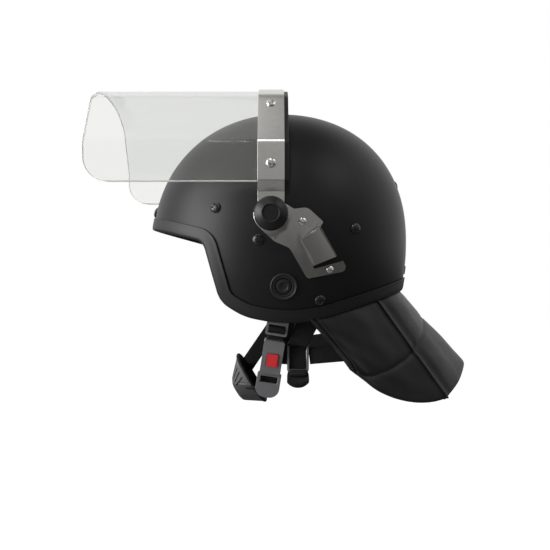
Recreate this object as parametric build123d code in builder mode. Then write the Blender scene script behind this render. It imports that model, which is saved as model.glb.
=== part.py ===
"""Police riot helmet: shell, liner, face visor on a steel arch, mask bracket, neck guard, chin strap.

Millimetres. +Z is up, the face looks along -Y and the wearer's left is +X.
The origin is the middle of the axis on which the visor turns, between the two ear studs.
The visor is drawn raised, as it is carried. Names that end in share are shares of another size.
"""

from build123d import *

import math
import os

os.makedirs("parts", exist_ok=True)

# General values
overrun = 30.0
reach = 200.0
fit_gap = 0.1
soft_gap = 0.3
run_gap = 0.05
head_taper = 30.0

# Shell: an egg-shaped dome. Its widest level lies below the pivot axis.
shell_half_width = 118.0
shell_front = 139.5
shell_rear = 138.0
shell_height = 138.5
shell_depth = 150.0
shell_wall = 4.0
dome_y = 10.0
dome_z = -22.0
dome_floor = -118.0
dome_skirt = -72.0
side_share = 2.3
front_share = 2.07
rear_share = 2.22
level_angles = (0, 14, 28, 42, 54, 65, 75, 83, 87.5)

# Rim, drawn in side view as straight runs with large round corners
brow_y = -180.0
brow_z = 5.5
temple_y = -66.0
temple_z = -24.0
temple_radius = 14.0
cheek_y = -49.0
cheek_z = -84.0
cheek_radius = 25.0
jaw_y = -26.0
jaw_z = -98.0
jaw_radius = 60.0
ear_y = 26.0
ear_z = -108.0
ear_radius = 150.0
nape_y = 180.0
nape_z = -62.0

# Rubber trim over the rim
trim_wall = 2.2
trim_height = 11.0

# Foam liner and comfort pads
liner_thick = 13.0
pad_thick = 9.0
crown_pad_radius = 55.0
brow_pad_width = 110.0
brow_pad_low = 12.0
brow_pad_high = 48.0
rear_pad_width = 110.0
rear_pad_low = -48.0
rear_pad_high = 10.0
side_pad_front = -40.0
side_pad_back = 58.0
side_pad_low = -62.0
side_pad_high = 22.0
side_pad_radius = 18.0

# Hearing grommet at the ear
grommet_y = 12.2
grommet_z = -69.6
grommet_radius = 13.5
grommet_neck = 10.0
grommet_bore = 8.0
grommet_stand = 2.4
grommet_back = 2.0
grommet_inner_gap = 0.5
plug_radius = 7.6
plug_dip_radius = 4.0

# Shell screws: places in side view, and the screw itself
screw_places = ((-54.5, 7.8), (-12.5, -24.4), (47.9, -83.5), (83.3, -12.6))
screw_head = 5.4
screw_head_high = 2.6
screw_shank = 2.5
nut_radius = 5.0
nut_high = 3.0
pocket_gap = 1.0
brow_bolt_z = 10.0
rear_screw_z = 40.0
end_screw_rise = 0.23
washer_radius = 6.5
washer_thick = 1.2
clip_z = -53.0
clip_width = 16.0
clip_height = 9.0
clip_thick = 1.6

# Pivot stack along the ear-to-ear axis, from the shell outwards
seat_x = 120.6
seat_radius = 15.5
seat_flare = 62.0
collar_radius = 16.9
spring_washer_thick = 0.8
band_thick = 2.0
dish_thick = 2.0
dish_radius = 16.0
stud_shoulder = 6.0
stud_thread = 4.0
stud_head_radius = 9.0
stud_head_high = 2.5
knob_radius = 16.5
knob_face_radius = 11.0
knob_deep = 15.5
knob_bevel = 3.5
knob_dip = 1.0
insert_radius = 7.0
insert_deep = 10.0
eye_x = seat_x + spring_washer_thick + fit_gap
dish_x = eye_x + band_thick + fit_gap
knob_x = dish_x + dish_thick + fit_gap

# Side bracket, along a line that points down and back from the pivot
bracket_angle = -60.0
sheet = 1.5
bracket_lift = 0.3
bracket_corners = (
    (-2.0, 17.0), (6.5, 22.0), (11.5, 34.0), (31.5, 40.5), (34.0, 35.5), (67.0, 35.5), (70.0, 38.6),
    (84.9, 38.6), (71.4, -0.8), (37.0, -0.8), (24.4, -10.2), (7.0, -15.7),
)
bracket_rounds = (0.0, 3.0, 9.0, 1.5, 1.0, 0.5, 1.0, 5.0, 4.0, 9.0, 1.5, 0.0)
loop_foot = ((32.0, 7.0), (63.0, 7.0), (66.9, 35.5), (24.0, 37.3))
loop_top = ((35.9, 13.5), (63.9, 13.5), (66.6, 33.5), (35.0, 33.5))
loop_high = 8.5
loop_root = 8.0
loop_slit = ((63.4, 10.0), (67.5, 40.0), (74.2, 40.0), (66.4, 10.0))
bracket_screw_radius = 3.6
bracket_screw_high = 1.6
bracket_screw_shank = 2.0
lobe_screw_along = 20.8
lobe_screw_across = 22.8
flange_screw_along = 74.3
flange_screw_across = 22.6

# Visor arch, seen from the front: the outer face of the steel band
arch_side = 127.4
joggle_low = 22.0
joggle_high = 32.0
crease_z = 70.0
shoulder_x = 90.0
shoulder_z = 122.0
crown_x = 50.0
crown_z = 137.0
arch_top = 140.5
joggle_radius = 4.0
crease_radius = 8.0
shoulder_radius = 25.0
crown_radius = 100.0
top_radius = 150.0
band_half = 12.9

# Visor sheet and seal
visor_thick = 3.0
visor_gap = 0.15
visor_free_end = -180.5
visor_back = 9.5
visor_low = 30.5
visor_corner = 25.0
seal_deep = 5.0
seal_back = 17.0
visor_screw_low = 48.5
visor_screw_high = 112.0
visor_screw_radius = 4.7
visor_head_high = 2.2
visor_screw_shank = 2.0
cap_nut_radius = 4.2
cap_nut_high = 3.0

# Neck guard: places of its stations at the rim (side view) and at its free edge, left half
guard_face = 3.0
guard_back = 6.0
guard_seam_share = 0.52
guard_rim_places = ((37.0, -98.0), (74.0, -92.0), (109.0, -82.0), (131.5, -74.0))
guard_free_points = (
    (97.0, 80.3, -143.9), (86.0, 115.0, -177.0), (66.0, 180.0, -186.0), (36.0, 201.0, -171.0),
)
guard_rear_rim = (0.0, 141.0, -72.0)
guard_rear_free = (0.0, 210.0, -154.0)
strip_thick = 1.6
strip_down = 12.0
strip_front = 46.0
snap_places_y = (60.0, 105.0)
snap_radius = 5.0
snap_thick = 1.4

# Webbing: it loops round the bars of its rings
webbing_width = 17.0
webbing_thick = 1.8
loop_in = 2.1
loop_out = 3.7
ring_wire = 2.4
ring_width = 22.0
ring_round = 2.0

# Chin strap: it hangs in a plane that leans forward, each side a little inwards
hang_y = 7.0
hang_z = -104.0
hang_lean = 9.0
ring_x = 89.5
ring_high = 17.0
slide_plate = 6.0
slide_bar = 2.0
slide_bar_along = 9.1
slide_weave = ((-4.5, -2.4), (5.8, -2.4), (7.0, 2.1), (11.2, 2.1), (12.4, -2.4), (16.4, -2.4))
anchor_y = 4.0
anchor_z = -83.0
anchor_plate = 20.0
anchor_high = 8.0
anchor_room = 2.4
anchor_thick = 1.8
buckle_angle = 13.5
buckle_start = 6.0
buckle_length = 35.0
buckle_width = 21.0
buckle_thick = 9.0
buckle_wall = 2.0
buckle_round = 2.0
button_length = 13.0
button_width = 11.0
button_proud = 1.6
button_flange = 1.0
button_deep = 2.2
button_gap = 0.3
latch_spring_thick = 0.8
tongue_length = 27.0
tongue_width = 24.5
tongue_thick = 3.0
tongue_insert = 8.0
tongue_slot = 7.0
tongue_bar = 4.0

# Chin cup: a bowl whose rim plane leans back
cup_y = -22.0
cup_z = -172.0
cup_half_width = 41.0
cup_half_high = 30.0
cup_deep = 22.0
cup_wall = 2.4
cup_lean = 58.0
cup_lining_thick = 3.0
cup_angles = (0, 25, 50, 70, 85)
cup_strap_x = 28.0
cup_strap_near = (2.0, -8.0)
cup_strap_far = (-14.0, 2.0)

# Rear webbing: rings, nape strap and the hanging loop of spare webbing
rear_anchor_y = 47.9
rear_anchor_z = -83.0
rear_anchor_room = 4.4
rear_ring_x = 80.0
rear_ring_y = 27.0
rear_ring_z = -141.0
rear_ring_high = 30.0
nape_corner_y = 50.0
nape_back_x = 44.0
nape_back_y = 80.0
nape_rear_y = 86.0
nape_round = 25.0
nape_rise = 12.0
nape_high = 17.0
nape_thick = 3.0
nape_corner_x = rear_ring_x - loop_out + nape_thick
tail_drop = 12.0
tail_half = 6.0


def superellipse(level, exponent):
    """Half breadth, as a share of the widest, at a level given as a share of the height."""
    return max(1 - abs(level) ** exponent, 0.0) ** (1 / exponent)


def level_share(z, grow):
    """How far up (or down) the dome a level lies, from 0 at the widest to 1 at the pole."""
    tall = shell_height if z > dome_z else shell_depth
    return (z - dome_z) / (tall + grow)


def dome(grow):
    """The egg-shaped dome, grown outwards by a length. Each level is a front and a rear half ellipse."""
    levels = [dome_floor, dome_skirt]
    levels += [dome_z + (shell_height + grow) * math.sin(math.radians(a)) for a in level_angles]
    with BuildPart() as egg:
        for z in levels:
            share = level_share(z, grow)
            across = (shell_half_width + grow) * superellipse(share, side_share)
            ahead = (shell_front + grow) * superellipse(share, front_share)
            behind = (shell_rear + grow) * superellipse(share, rear_share)
            with BuildSketch(Plane.XY.offset(z)):
                with BuildLine():
                    EllipticalCenterArc((0, dome_y), across, behind, 0, arc_size=180)
                    EllipticalCenterArc((0, dome_y), across, ahead, 180, arc_size=180)
                make_face()
        loft()
    return egg.part


def dome_x(y, z, grow=0.0):
    """Where the dome's side lies at a place given in side view."""
    share = level_share(z, grow)
    across = (shell_half_width + grow) * superellipse(share, side_share)
    if y < dome_y:
        along = (shell_front + grow) * superellipse(share, front_share)
    else:
        along = (shell_rear + grow) * superellipse(share, rear_share)
    return across * math.sqrt(max(1 - ((y - dome_y) / along) ** 2, 0.0))


def on_shell(y, z, grow=0.0, side=1):
    """A plane on the dome's side, its z axis pointing outwards."""
    x = dome_x(y, z, grow)
    slope_y = (dome_x(y + fit_gap, z, grow) - dome_x(y - fit_gap, z, grow)) / (2 * fit_gap)
    slope_z = (dome_x(y, z + fit_gap, grow) - dome_x(y, z - fit_gap, grow)) / (2 * fit_gap)
    return Plane(origin=(side * x, y, z), x_dir=(0, 1, 0), z_dir=(side, -slope_y, -slope_z))


def rim_block(grow):
    """Everything above the rim line in side view, with the line moved outwards by a length."""
    outline = (
        (brow_y, brow_z), (temple_y, temple_z), (cheek_y, cheek_z), (jaw_y, jaw_z),
        (ear_y, ear_z), (nape_y, nape_z), (nape_y, reach), (brow_y, reach),
    )
    rounds = (0, temple_radius, cheek_radius, jaw_radius, ear_radius, 0, 0, 0)
    with BuildPart() as block:
        with BuildSketch(Plane.YZ):
            with BuildLine():
                FilletPolyline(*outline, radius=rounds, close=True)
            make_face()
            if grow:
                offset(amount=grow, kind=Kind.INTERSECTION)
        extrude(amount=reach, both=True)
    return block.part


def stem(plane, radius, start, length):
    """A round bar along a plane's z axis, from a start above the plane."""
    with BuildPart() as bar:
        with BuildSketch(plane.offset(start)):
            Circle(radius)
        extrude(amount=length)
    return bar.part


def strap(start, end, across, loops=(False, False)):
    """A straight run of webbing. An end that loops goes round a bar that lies along a direction."""
    start, end, across = Vector(*start), Vector(*end), Vector(*across)
    run = end - start
    level = across - run * (across.dot(run) / run.dot(run))
    with BuildPart() as tape:
        with BuildSketch(Plane(origin=start, x_dir=level, z_dir=run)):
            Rectangle(webbing_width, webbing_thick)
        extrude(amount=run.length)
        eyes = [point for point, looped in zip((start, end), loops) if looped]
        for point in eyes:
            with BuildSketch(Plane(origin=point, z_dir=across)):
                Circle(loop_out)
            extrude(amount=webbing_width / 2, both=True)
        for point in eyes:
            with BuildSketch(Plane(origin=point, z_dir=across)):
                Circle(loop_in)
            extrude(amount=webbing_width, both=True, mode=Mode.SUBTRACT)
    return tape.part


def wire_ring(plane, width, high):
    """A rectangular ring of thick wire, centred on a plane."""
    with BuildPart() as ring:
        with BuildSketch(plane):
            RectangleRounded(width, high, ring_round)
            Rectangle(width - 2 * ring_wire, high - 2 * ring_wire, mode=Mode.SUBTRACT)
        extrude(amount=ring_wire / 2, both=True)
    return ring.part


def arch_area(inset):
    """The area under the visor arch, seen from the front, with its outline moved in by a length."""
    half = (
        (eye_x + band_thick, -overrun), (eye_x + band_thick, joggle_low), (arch_side, joggle_high),
        (arch_side, crease_z), (shoulder_x, shoulder_z), (crown_x, crown_z),
    )
    rounds = (0, joggle_radius, joggle_radius, crease_radius, shoulder_radius, crown_radius)
    other = tuple((-x, z) for x, z in reversed(half))
    with BuildSketch() as area:
        with BuildLine():
            FilletPolyline(
                *half, (0, arch_top), *other, radius=rounds + (top_radius,) + rounds[::-1], close=True,
            )
        make_face()
        if inset:
            offset(amount=-inset, kind=Kind.INTERSECTION)
    return area.sketch


def arch_layer(outer, inner, ahead, behind):
    """A layer that follows the arch between two depths, from a place ahead of it to one behind."""
    with BuildPart() as layer:
        with BuildSketch(Plane.XZ.offset(-behind)):
            add(arch_area(outer))
            add(arch_area(inner), mode=Mode.SUBTRACT)
        extrude(amount=behind - ahead)
    return layer.part


def save(piece, name):
    """Labels one finished piece and writes it under its own name."""
    piece.label = name
    export_step(piece, f"parts/{name}.step")


# Shell with its rim cut, stud holes and screw holes
outer_dome = dome(0.0)
inner_dome = dome(-shell_wall)
rim = rim_block(0.0)
rear_screw_y = dome_y + shell_rear * superellipse(level_share(rear_screw_z, 0.0), rear_share)
brow_bolt_y = dome_y - shell_front * superellipse(level_share(brow_bolt_z, 0.0), front_share)
rear_plane = Plane(origin=(0, rear_screw_y, rear_screw_z), x_dir=(1, 0, 0), z_dir=(0, 1, end_screw_rise))
brow_plane = Plane(origin=(0, brow_bolt_y, brow_bolt_z), x_dir=(1, 0, 0), z_dir=(0, -1, end_screw_rise))
screw_planes = [on_shell(y, z, 0.0, side) for side in (1, -1) for y, z in screw_places] + [rear_plane]
grommet_planes = {"left": on_shell(grommet_y, grommet_z), "right": on_shell(grommet_y, grommet_z, 0.0, -1)}

along_dir = (0, math.cos(math.radians(bracket_angle)), math.sin(math.radians(bracket_angle)))
bracket_plane = Plane(origin=(0, 0, 0), x_dir=along_dir, z_dir=(1, 0, 0))


def bracket_point(along, across):
    """Side-view place of a point given along and across the bracket."""
    point = bracket_plane.from_local_coords((along, across, 0))
    return point.Y, point.Z


bracket_screw_places = (
    bracket_point(lobe_screw_along, lobe_screw_across),
    bracket_point(flange_screw_along, flange_screw_across),
)
bracket_screw_planes = [on_shell(y, z, 0.0, side) for side in (1, -1) for y, z in bracket_screw_places]

with BuildPart() as shell:
    add(outer_dome)
    add(inner_dome, mode=Mode.SUBTRACT)
    add(rim, mode=Mode.INTERSECT)
    for plane in screw_planes + [brow_plane]:
        add(stem(plane, screw_shank + run_gap, -overrun, 2 * overrun), mode=Mode.SUBTRACT)
    for plane in bracket_screw_planes:
        add(stem(plane, bracket_screw_shank + run_gap, -overrun, 2 * overrun), mode=Mode.SUBTRACT)
    for plane in grommet_planes.values():
        add(stem(plane, grommet_neck + run_gap, -overrun, 2 * overrun), mode=Mode.SUBTRACT)
    with BuildSketch(Plane.YZ):
        Circle(stud_shoulder + run_gap)
    extrude(amount=reach, both=True, mode=Mode.SUBTRACT)
save(shell.part, "shell")

# Rubber trim: a U that straddles the rim
with BuildPart() as shell_edge:
    add(dome(fit_gap))
    add(dome(-shell_wall - fit_gap), mode=Mode.SUBTRACT)
    add(rim_block(fit_gap), mode=Mode.INTERSECT)

with BuildPart() as edge_trim:
    add(dome(trim_wall))
    add(dome(-shell_wall - trim_wall), mode=Mode.SUBTRACT)
    add(rim_block(trim_wall), mode=Mode.INTERSECT)
    add(rim_block(-trim_height), mode=Mode.SUBTRACT)
    add(shell_edge.part, mode=Mode.SUBTRACT)
save(edge_trim.part, "edge_trim")

# Foam liner, with pockets for the nuts and stud heads
liner_out = -shell_wall - soft_gap
liner_in = liner_out - liner_thick
liner_rim = -trim_height - soft_gap
with BuildPart() as impact_liner:
    add(dome(liner_out))
    add(dome(liner_in), mode=Mode.SUBTRACT)
    add(rim_block(liner_rim), mode=Mode.INTERSECT)
    for plane in screw_planes + bracket_screw_planes + [brow_plane]:
        pocket = nut_radius + pocket_gap
        add(stem(plane, pocket, -shell_wall - nut_high - pocket_gap, overrun), mode=Mode.SUBTRACT)
    for plane in grommet_planes.values():
        add(stem(plane, grommet_radius + pocket_gap, -overrun, 2 * overrun), mode=Mode.SUBTRACT)
    stud_depth = dome_x(0, 0, -shell_wall) - stud_head_high - pocket_gap
    for turn in (1, -1):
        with BuildSketch(Plane.YZ.offset(turn * stud_depth)):
            Circle(stud_head_radius + pocket_gap)
        extrude(amount=turn * reach, mode=Mode.SUBTRACT)
save(impact_liner.part, "impact_liner")

# Comfort pads lie on the liner
pad_out = dome(liner_in - soft_gap)
pad_in = dome(liner_in - soft_gap - pad_thick)
with BuildPart() as pad_layer:
    add(pad_out)
    add(pad_in, mode=Mode.SUBTRACT)

with BuildPart() as crown_pad:
    add(pad_layer.part)
    with BuildSketch(Plane.XY):
        with Locations((0, dome_y)):
            Circle(crown_pad_radius)
    extrude(amount=reach, mode=Mode.INTERSECT)
save(crown_pad.part, "crown_pad")

with BuildPart() as brow_pad:
    add(pad_layer.part)
    with BuildSketch(Plane.XZ):
        with Locations((0, (brow_pad_low + brow_pad_high) / 2)):
            RectangleRounded(brow_pad_width, brow_pad_high - brow_pad_low, side_pad_radius / 2)
    extrude(amount=reach, mode=Mode.INTERSECT)
save(brow_pad.part, "brow_pad")

with BuildPart() as rear_pad:
    add(pad_layer.part)
    with BuildSketch(Plane.XZ):
        with Locations((0, (rear_pad_low + rear_pad_high) / 2)):
            RectangleRounded(rear_pad_width, rear_pad_high - rear_pad_low, side_pad_radius)
    extrude(amount=-reach, mode=Mode.INTERSECT)
save(rear_pad.part, "rear_pad")

with BuildPart() as side_pad:
    add(pad_layer.part)
    with BuildSketch(Plane.YZ):
        with Locations(((side_pad_front + side_pad_back) / 2, (side_pad_low + side_pad_high) / 2)):
            RectangleRounded(side_pad_back - side_pad_front, side_pad_high - side_pad_low, side_pad_radius)
    extrude(amount=reach, mode=Mode.INTERSECT)
save(side_pad.part, "side_pad_left")
save(mirror(side_pad.part, about=Plane.YZ), "side_pad_right")

# Hearing grommets: a flanged rubber ring through the shell, with a slotted plug
for side, plane in grommet_planes.items():
    with BuildPart() as grommet:
        with BuildSketch(plane.offset(fit_gap)):
            Circle(grommet_radius)
        extrude(amount=grommet_stand, taper=head_taper)
        with BuildSketch(plane.offset(fit_gap)):
            Circle(grommet_neck)
        extrude(amount=-shell_wall - grommet_back)
        with BuildSketch(plane.offset(-shell_wall - grommet_inner_gap)):
            Circle(grommet_radius)
        extrude(amount=-grommet_back)
        with BuildSketch(plane.offset(overrun)):
            Circle(grommet_bore)
        extrude(amount=-2 * overrun, mode=Mode.SUBTRACT)
        add(shell.part, mode=Mode.SUBTRACT)
    save(grommet.part, f"ear_grommet_{side}")
    with BuildPart() as ear_plug:
        with BuildSketch(plane.offset(grommet_stand / 2)):
            Circle(plug_radius)
        extrude(amount=-shell_wall)
        with BuildSketch(plane.offset(grommet_stand / 2)):
            Circle(plug_dip_radius)
        extrude(amount=-washer_thick, mode=Mode.SUBTRACT)
    save(ear_plug.part, f"ear_plug_{side}")

# Shell screws with domed heads, and the nuts inside
with BuildPart() as shell_screws:
    for plane in screw_planes:
        with BuildSketch(plane.offset(fit_gap)):
            Circle(screw_head)
        extrude(amount=screw_head_high, taper=head_taper)
        with BuildSketch(plane.offset(fit_gap)):
            Circle(screw_shank)
        extrude(amount=-shell_wall - nut_high)
    add(shell.part, mode=Mode.SUBTRACT)
save(shell_screws.part, "shell_screws")

with BuildPart() as shell_nuts:
    for plane in screw_planes:
        with BuildSketch(plane.offset(-shell_wall - fit_gap)):
            RegularPolygon(nut_radius, 6)
            Circle(screw_shank + run_gap, mode=Mode.SUBTRACT)
        extrude(amount=-nut_high)
    add(shell.part, mode=Mode.SUBTRACT)
save(shell_nuts.part, "shell_nuts")

# Brow bolt with its washer, and the clip low at the rear
with BuildPart() as brow_washer:
    with BuildSketch(brow_plane.offset(fit_gap)):
        Circle(washer_radius)
        Circle(screw_shank + run_gap, mode=Mode.SUBTRACT)
    extrude(amount=washer_thick)
    add(shell.part, mode=Mode.SUBTRACT)
save(brow_washer.part, "brow_washer")

with BuildPart() as brow_bolt:
    with BuildSketch(brow_plane.offset(washer_thick + 2 * fit_gap)):
        Circle(screw_head)
    extrude(amount=screw_head_high, taper=head_taper)
    with BuildSketch(brow_plane.offset(washer_thick + 2 * fit_gap)):
        Circle(screw_shank)
    extrude(amount=-shell_wall - washer_thick - nut_high)
save(brow_bolt.part, "brow_bolt")

with BuildPart() as rear_clip:
    add(dome(clip_thick + fit_gap))
    add(dome(fit_gap), mode=Mode.SUBTRACT)
    with BuildSketch(Plane.XZ):
        with Locations((0, clip_z)):
            RectangleRounded(clip_width, clip_height, clip_thick)
    extrude(amount=-reach, mode=Mode.INTERSECT)
save(rear_clip.part, "rear_clip")

# Side bracket: a pressed sheet that follows the shell, with a flared seat for the pivot
# and a raised loop, open at its lower end, for the hook of a mask harness
with BuildPart() as sheet_layer:
    add(dome(bracket_lift + sheet))
    add(dome(bracket_lift), mode=Mode.SUBTRACT)

with BuildPart() as bracket_block:
    with BuildSketch(bracket_plane):
        Circle(collar_radius)
        with BuildLine():
            FilletPolyline(*bracket_corners, (0, 0), radius=bracket_rounds + (0.0,), close=True)
        make_face()
    extrude(amount=reach)

loop_middle = [sum(values) / len(loop_foot) for values in zip(*loop_foot)]
base = dome_x(*bracket_point(*loop_middle)) - loop_root


def loop_block(inset, top_x):
    """The raised loop as a solid: a slanted foot below and a smaller platform on top."""
    with BuildPart() as block:
        for corners, x in ((loop_foot, base), (loop_top, top_x)):
            (a, b), (c, d), (e, f), (g, h) = corners
            past = fit_gap if inset else 0.0
            with BuildSketch(bracket_plane.offset(x)):
                with BuildLine():
                    Polyline(
                        (a + inset, b + inset), (c + past, d + inset), (e + past, f - inset),
                        (g + inset, h - inset), close=True,
                    )
                make_face()
        loft(ruled=True)
    return block.part


with BuildPart() as seat_block:
    with BuildSketch(Plane.YZ.offset(seat_x)):
        Circle(seat_radius)
    extrude(amount=stud_depth - seat_x, taper=-seat_flare)
    add(bracket_block.part, mode=Mode.INTERSECT)

with BuildPart() as side_bracket:
    add(sheet_layer.part)
    add(bracket_block.part, mode=Mode.INTERSECT)
    add(seat_block.part)
    add(loop_block(0.0, base + loop_root + loop_high))
    add(loop_block(sheet, base + loop_root + loop_high - sheet), mode=Mode.SUBTRACT)
    with BuildSketch(bracket_plane):
        with BuildLine():
            Polyline(*loop_slit, close=True)
        make_face()
    extrude(amount=reach, mode=Mode.SUBTRACT)
    add(dome(bracket_lift), mode=Mode.SUBTRACT)
    with BuildSketch(Plane.YZ):
        Circle(stud_shoulder + run_gap)
    extrude(amount=reach, mode=Mode.SUBTRACT)
    for plane in bracket_screw_planes[:2]:
        add(stem(plane, bracket_screw_shank + run_gap, -overrun, 2 * overrun), mode=Mode.SUBTRACT)
save(side_bracket.part, "side_bracket_left")
save(mirror(side_bracket.part, about=Plane.YZ), "side_bracket_right")

with BuildPart() as bracket_screws:
    for plane in bracket_screw_planes:
        with BuildSketch(plane.offset(bracket_lift + sheet + fit_gap)):
            Circle(bracket_screw_radius)
        extrude(amount=bracket_screw_high, taper=head_taper)
        with BuildSketch(plane.offset(bracket_lift + sheet + fit_gap)):
            Circle(bracket_screw_shank)
        extrude(amount=-shell_wall - nut_high - sheet)
save(bracket_screws.part, "bracket_screws")

with BuildPart() as bracket_nuts:
    for plane in bracket_screw_planes:
        with BuildSketch(plane.offset(-shell_wall - fit_gap)):
            RegularPolygon(nut_radius, 6)
            Circle(bracket_screw_shank + run_gap, mode=Mode.SUBTRACT)
        extrude(amount=-nut_high)
    add(shell.part, mode=Mode.SUBTRACT)
save(bracket_nuts.part, "bracket_nuts")

# Pivot: stud, spring washer, band eye, flat washer and clamp knob, stacked outwards
with BuildPart() as pivot_stud:
    with BuildSketch(Plane.YZ.offset(stud_depth + pocket_gap)):
        Circle(stud_head_radius)
    extrude(amount=stud_head_high)
    with BuildSketch(Plane.YZ.offset(stud_depth + pocket_gap)):
        Circle(stud_shoulder)
    extrude(amount=dish_x - stud_depth - pocket_gap)
    with BuildSketch(Plane.YZ.offset(dish_x)):
        Circle(stud_thread)
    extrude(amount=knob_x - dish_x + insert_deep)
    add(shell.part, mode=Mode.SUBTRACT)
save(pivot_stud.part, "pivot_stud_left")
save(mirror(pivot_stud.part, about=Plane.YZ), "pivot_stud_right")

with BuildPart() as spring_washer:
    with BuildSketch(Plane.YZ.offset(seat_x)):
        Circle(dish_radius - dish_thick)
        Circle(stud_shoulder + run_gap, mode=Mode.SUBTRACT)
    extrude(amount=spring_washer_thick)
with BuildPart() as spring_washers:
    add(spring_washer.part)
    mirror(about=Plane.YZ)
save(spring_washers.part, "spring_washers")

with BuildPart() as pivot_washer:
    with BuildSketch(Plane.YZ.offset(dish_x)):
        Circle(dish_radius)
        Circle(stud_thread + run_gap, mode=Mode.SUBTRACT)
    extrude(amount=dish_thick)
with BuildPart() as pivot_washers:
    add(pivot_washer.part)
    mirror(about=Plane.YZ)
save(pivot_washers.part, "pivot_washers")

with BuildPart() as knob:
    with BuildSketch(Plane.XY):
        with BuildLine():
            FilletPolyline(
                (knob_x, insert_radius), (knob_x, knob_radius),
                (knob_x + knob_deep - knob_bevel, knob_radius),
                (knob_x + knob_deep, knob_face_radius),
                (knob_x + knob_deep - knob_dip, knob_face_radius - knob_dip),
                (knob_x + knob_deep - knob_dip, 0), (knob_x + insert_deep, 0),
                (knob_x + insert_deep, insert_radius),
                radius=(0, knob_dip, knob_bevel, 0, 0, 0, 0, 0), close=True,
            )
        make_face()
    revolve(axis=Axis.X)
save(knob.part, "knob_left")
save(mirror(knob.part, about=Plane.YZ), "knob_right")

with BuildPart() as knob_insert:
    with BuildSketch(Plane.YZ.offset(knob_x)):
        Circle(insert_radius)
        Circle(stud_thread + run_gap, mode=Mode.SUBTRACT)
    extrude(amount=insert_deep)
save(knob_insert.part, "knob_insert_left")
save(mirror(knob_insert.part, about=Plane.YZ), "knob_insert_right")

# Visor arch: a bent steel band with an eye at each end
facet = Vector(arch_side - shoulder_x, 0, crease_z - shoulder_z)
facet_fall = (visor_screw_high - crease_z) / (shoulder_z - crease_z)
high_x = arch_side - facet.X * facet_fall
visor_screw_planes = [
    Plane(origin=(side * x, 0, z), x_dir=(0, 1, 0), z_dir=(side * out_x, 0, out_z))
    for side in (1, -1)
    for x, z, out_x, out_z in (
        (arch_side, visor_screw_low, 1, 0),
        (high_x, visor_screw_high, -facet.Z, facet.X),
    )
]

with BuildPart() as visor_band:
    add(arch_layer(0.0, band_thick, -band_half, band_half))
    with BuildSketch(Plane.YZ):
        Circle(band_half)
        with Locations((0, reach / 2)):
            Rectangle(2 * band_half, reach)
    extrude(amount=reach, both=True, mode=Mode.INTERSECT)
    with BuildSketch(Plane.YZ):
        Circle(stud_shoulder + run_gap)
    extrude(amount=reach, both=True, mode=Mode.SUBTRACT)
    for plane in visor_screw_planes:
        add(stem(plane, visor_screw_shank + run_gap, -overrun, 2 * overrun), mode=Mode.SUBTRACT)
save(visor_band.part, "visor_band")

# Visor: one clear sheet bent to the arch, its free lower corners rounded
visor_out = band_thick + visor_gap
with BuildPart() as visor:
    add(arch_layer(visor_out, visor_out + visor_thick, visor_free_end, visor_back))
    with BuildSketch(Plane.YZ):
        with BuildLine():
            FilletPolyline(
                (visor_free_end, visor_low), (visor_back, visor_low), (visor_back, reach),
                (visor_free_end, reach), radius=(visor_corner, 0, 0, 0), close=True,
            )
        make_face()
    extrude(amount=reach, both=True, mode=Mode.INTERSECT)
    for plane in visor_screw_planes:
        add(stem(plane, visor_screw_shank + run_gap, -overrun, 2 * overrun), mode=Mode.SUBTRACT)
save(visor.part, "visor")

with BuildPart() as visor_seal:
    add(arch_layer(visor_out, visor_out + seal_deep, visor_back + fit_gap, seal_back))
    with BuildSketch(Plane.YZ):
        with Locations((0, visor_low + reach / 2)):
            Rectangle(2 * seal_back, reach)
    extrude(amount=reach, both=True, mode=Mode.INTERSECT)
save(visor_seal.part, "visor_seal")

with BuildPart() as visor_screws:
    for plane in visor_screw_planes:
        with BuildSketch(plane.offset(run_gap)):
            Circle(visor_screw_radius)
        extrude(amount=visor_head_high, taper=head_taper)
        with BuildSketch(plane.offset(run_gap)):
            Circle(visor_screw_shank)
        extrude(amount=-visor_out - visor_thick - cap_nut_high / 2)
save(visor_screws.part, "visor_screws")

with BuildPart() as visor_nuts:
    for plane in visor_screw_planes:
        with BuildSketch(plane.offset(-visor_out - visor_thick - run_gap)):
            Circle(cap_nut_radius)
        extrude(amount=-cap_nut_high)
        with BuildSketch(plane.offset(-visor_out - visor_thick - run_gap)):
            Circle(visor_screw_shank + run_gap)
        extrude(amount=-cap_nut_high / 2 - fit_gap, mode=Mode.SUBTRACT)
save(visor_nuts.part, "visor_nuts")


# Neck guard: three padded panels, each with a sewn seam across it
def guard_station(rim_point, free_point, along):
    """One cross-section of the guard: two padded swells on the outside, flat on the inside."""
    down = Vector(*free_point) - Vector(*rim_point)
    along = Vector(*along)
    square = along - down * (along.dot(down) / down.dot(down))
    length, seam = down.length, down.length * guard_seam_share
    with BuildSketch(Plane(origin=rim_point, x_dir=down, z_dir=square)) as section:
        with BuildLine():
            ThreePointArc((0, 0), (seam / 2, guard_face), (seam, 0))
            ThreePointArc((seam, 0), ((seam + length) / 2, guard_face), (length, 0))
            Polyline((length, 0), (length, -guard_back), (0, -guard_back), (0, 0))
        make_face()
    return section.sketch


def mirrored(points):
    """The same places on the wearer's right."""
    return [(-x, y, z) for x, y, z in points]


left_rim = [(dome_x(y, z), y, z) for y, z in guard_rim_places]
rim_row = left_rim + [guard_rear_rim] + mirrored(left_rim)[::-1]
free_row = list(guard_free_points) + [guard_rear_free] + mirrored(guard_free_points)[::-1]
last = len(rim_row) - 1
stations = []
for i, (rim_point, free_point) in enumerate(zip(rim_row, free_row)):
    before, after = rim_row[max(i - 1, 0)], rim_row[min(i + 1, last)]
    stations.append(guard_station(rim_point, free_point, Vector(*before) - Vector(*after)))

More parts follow.
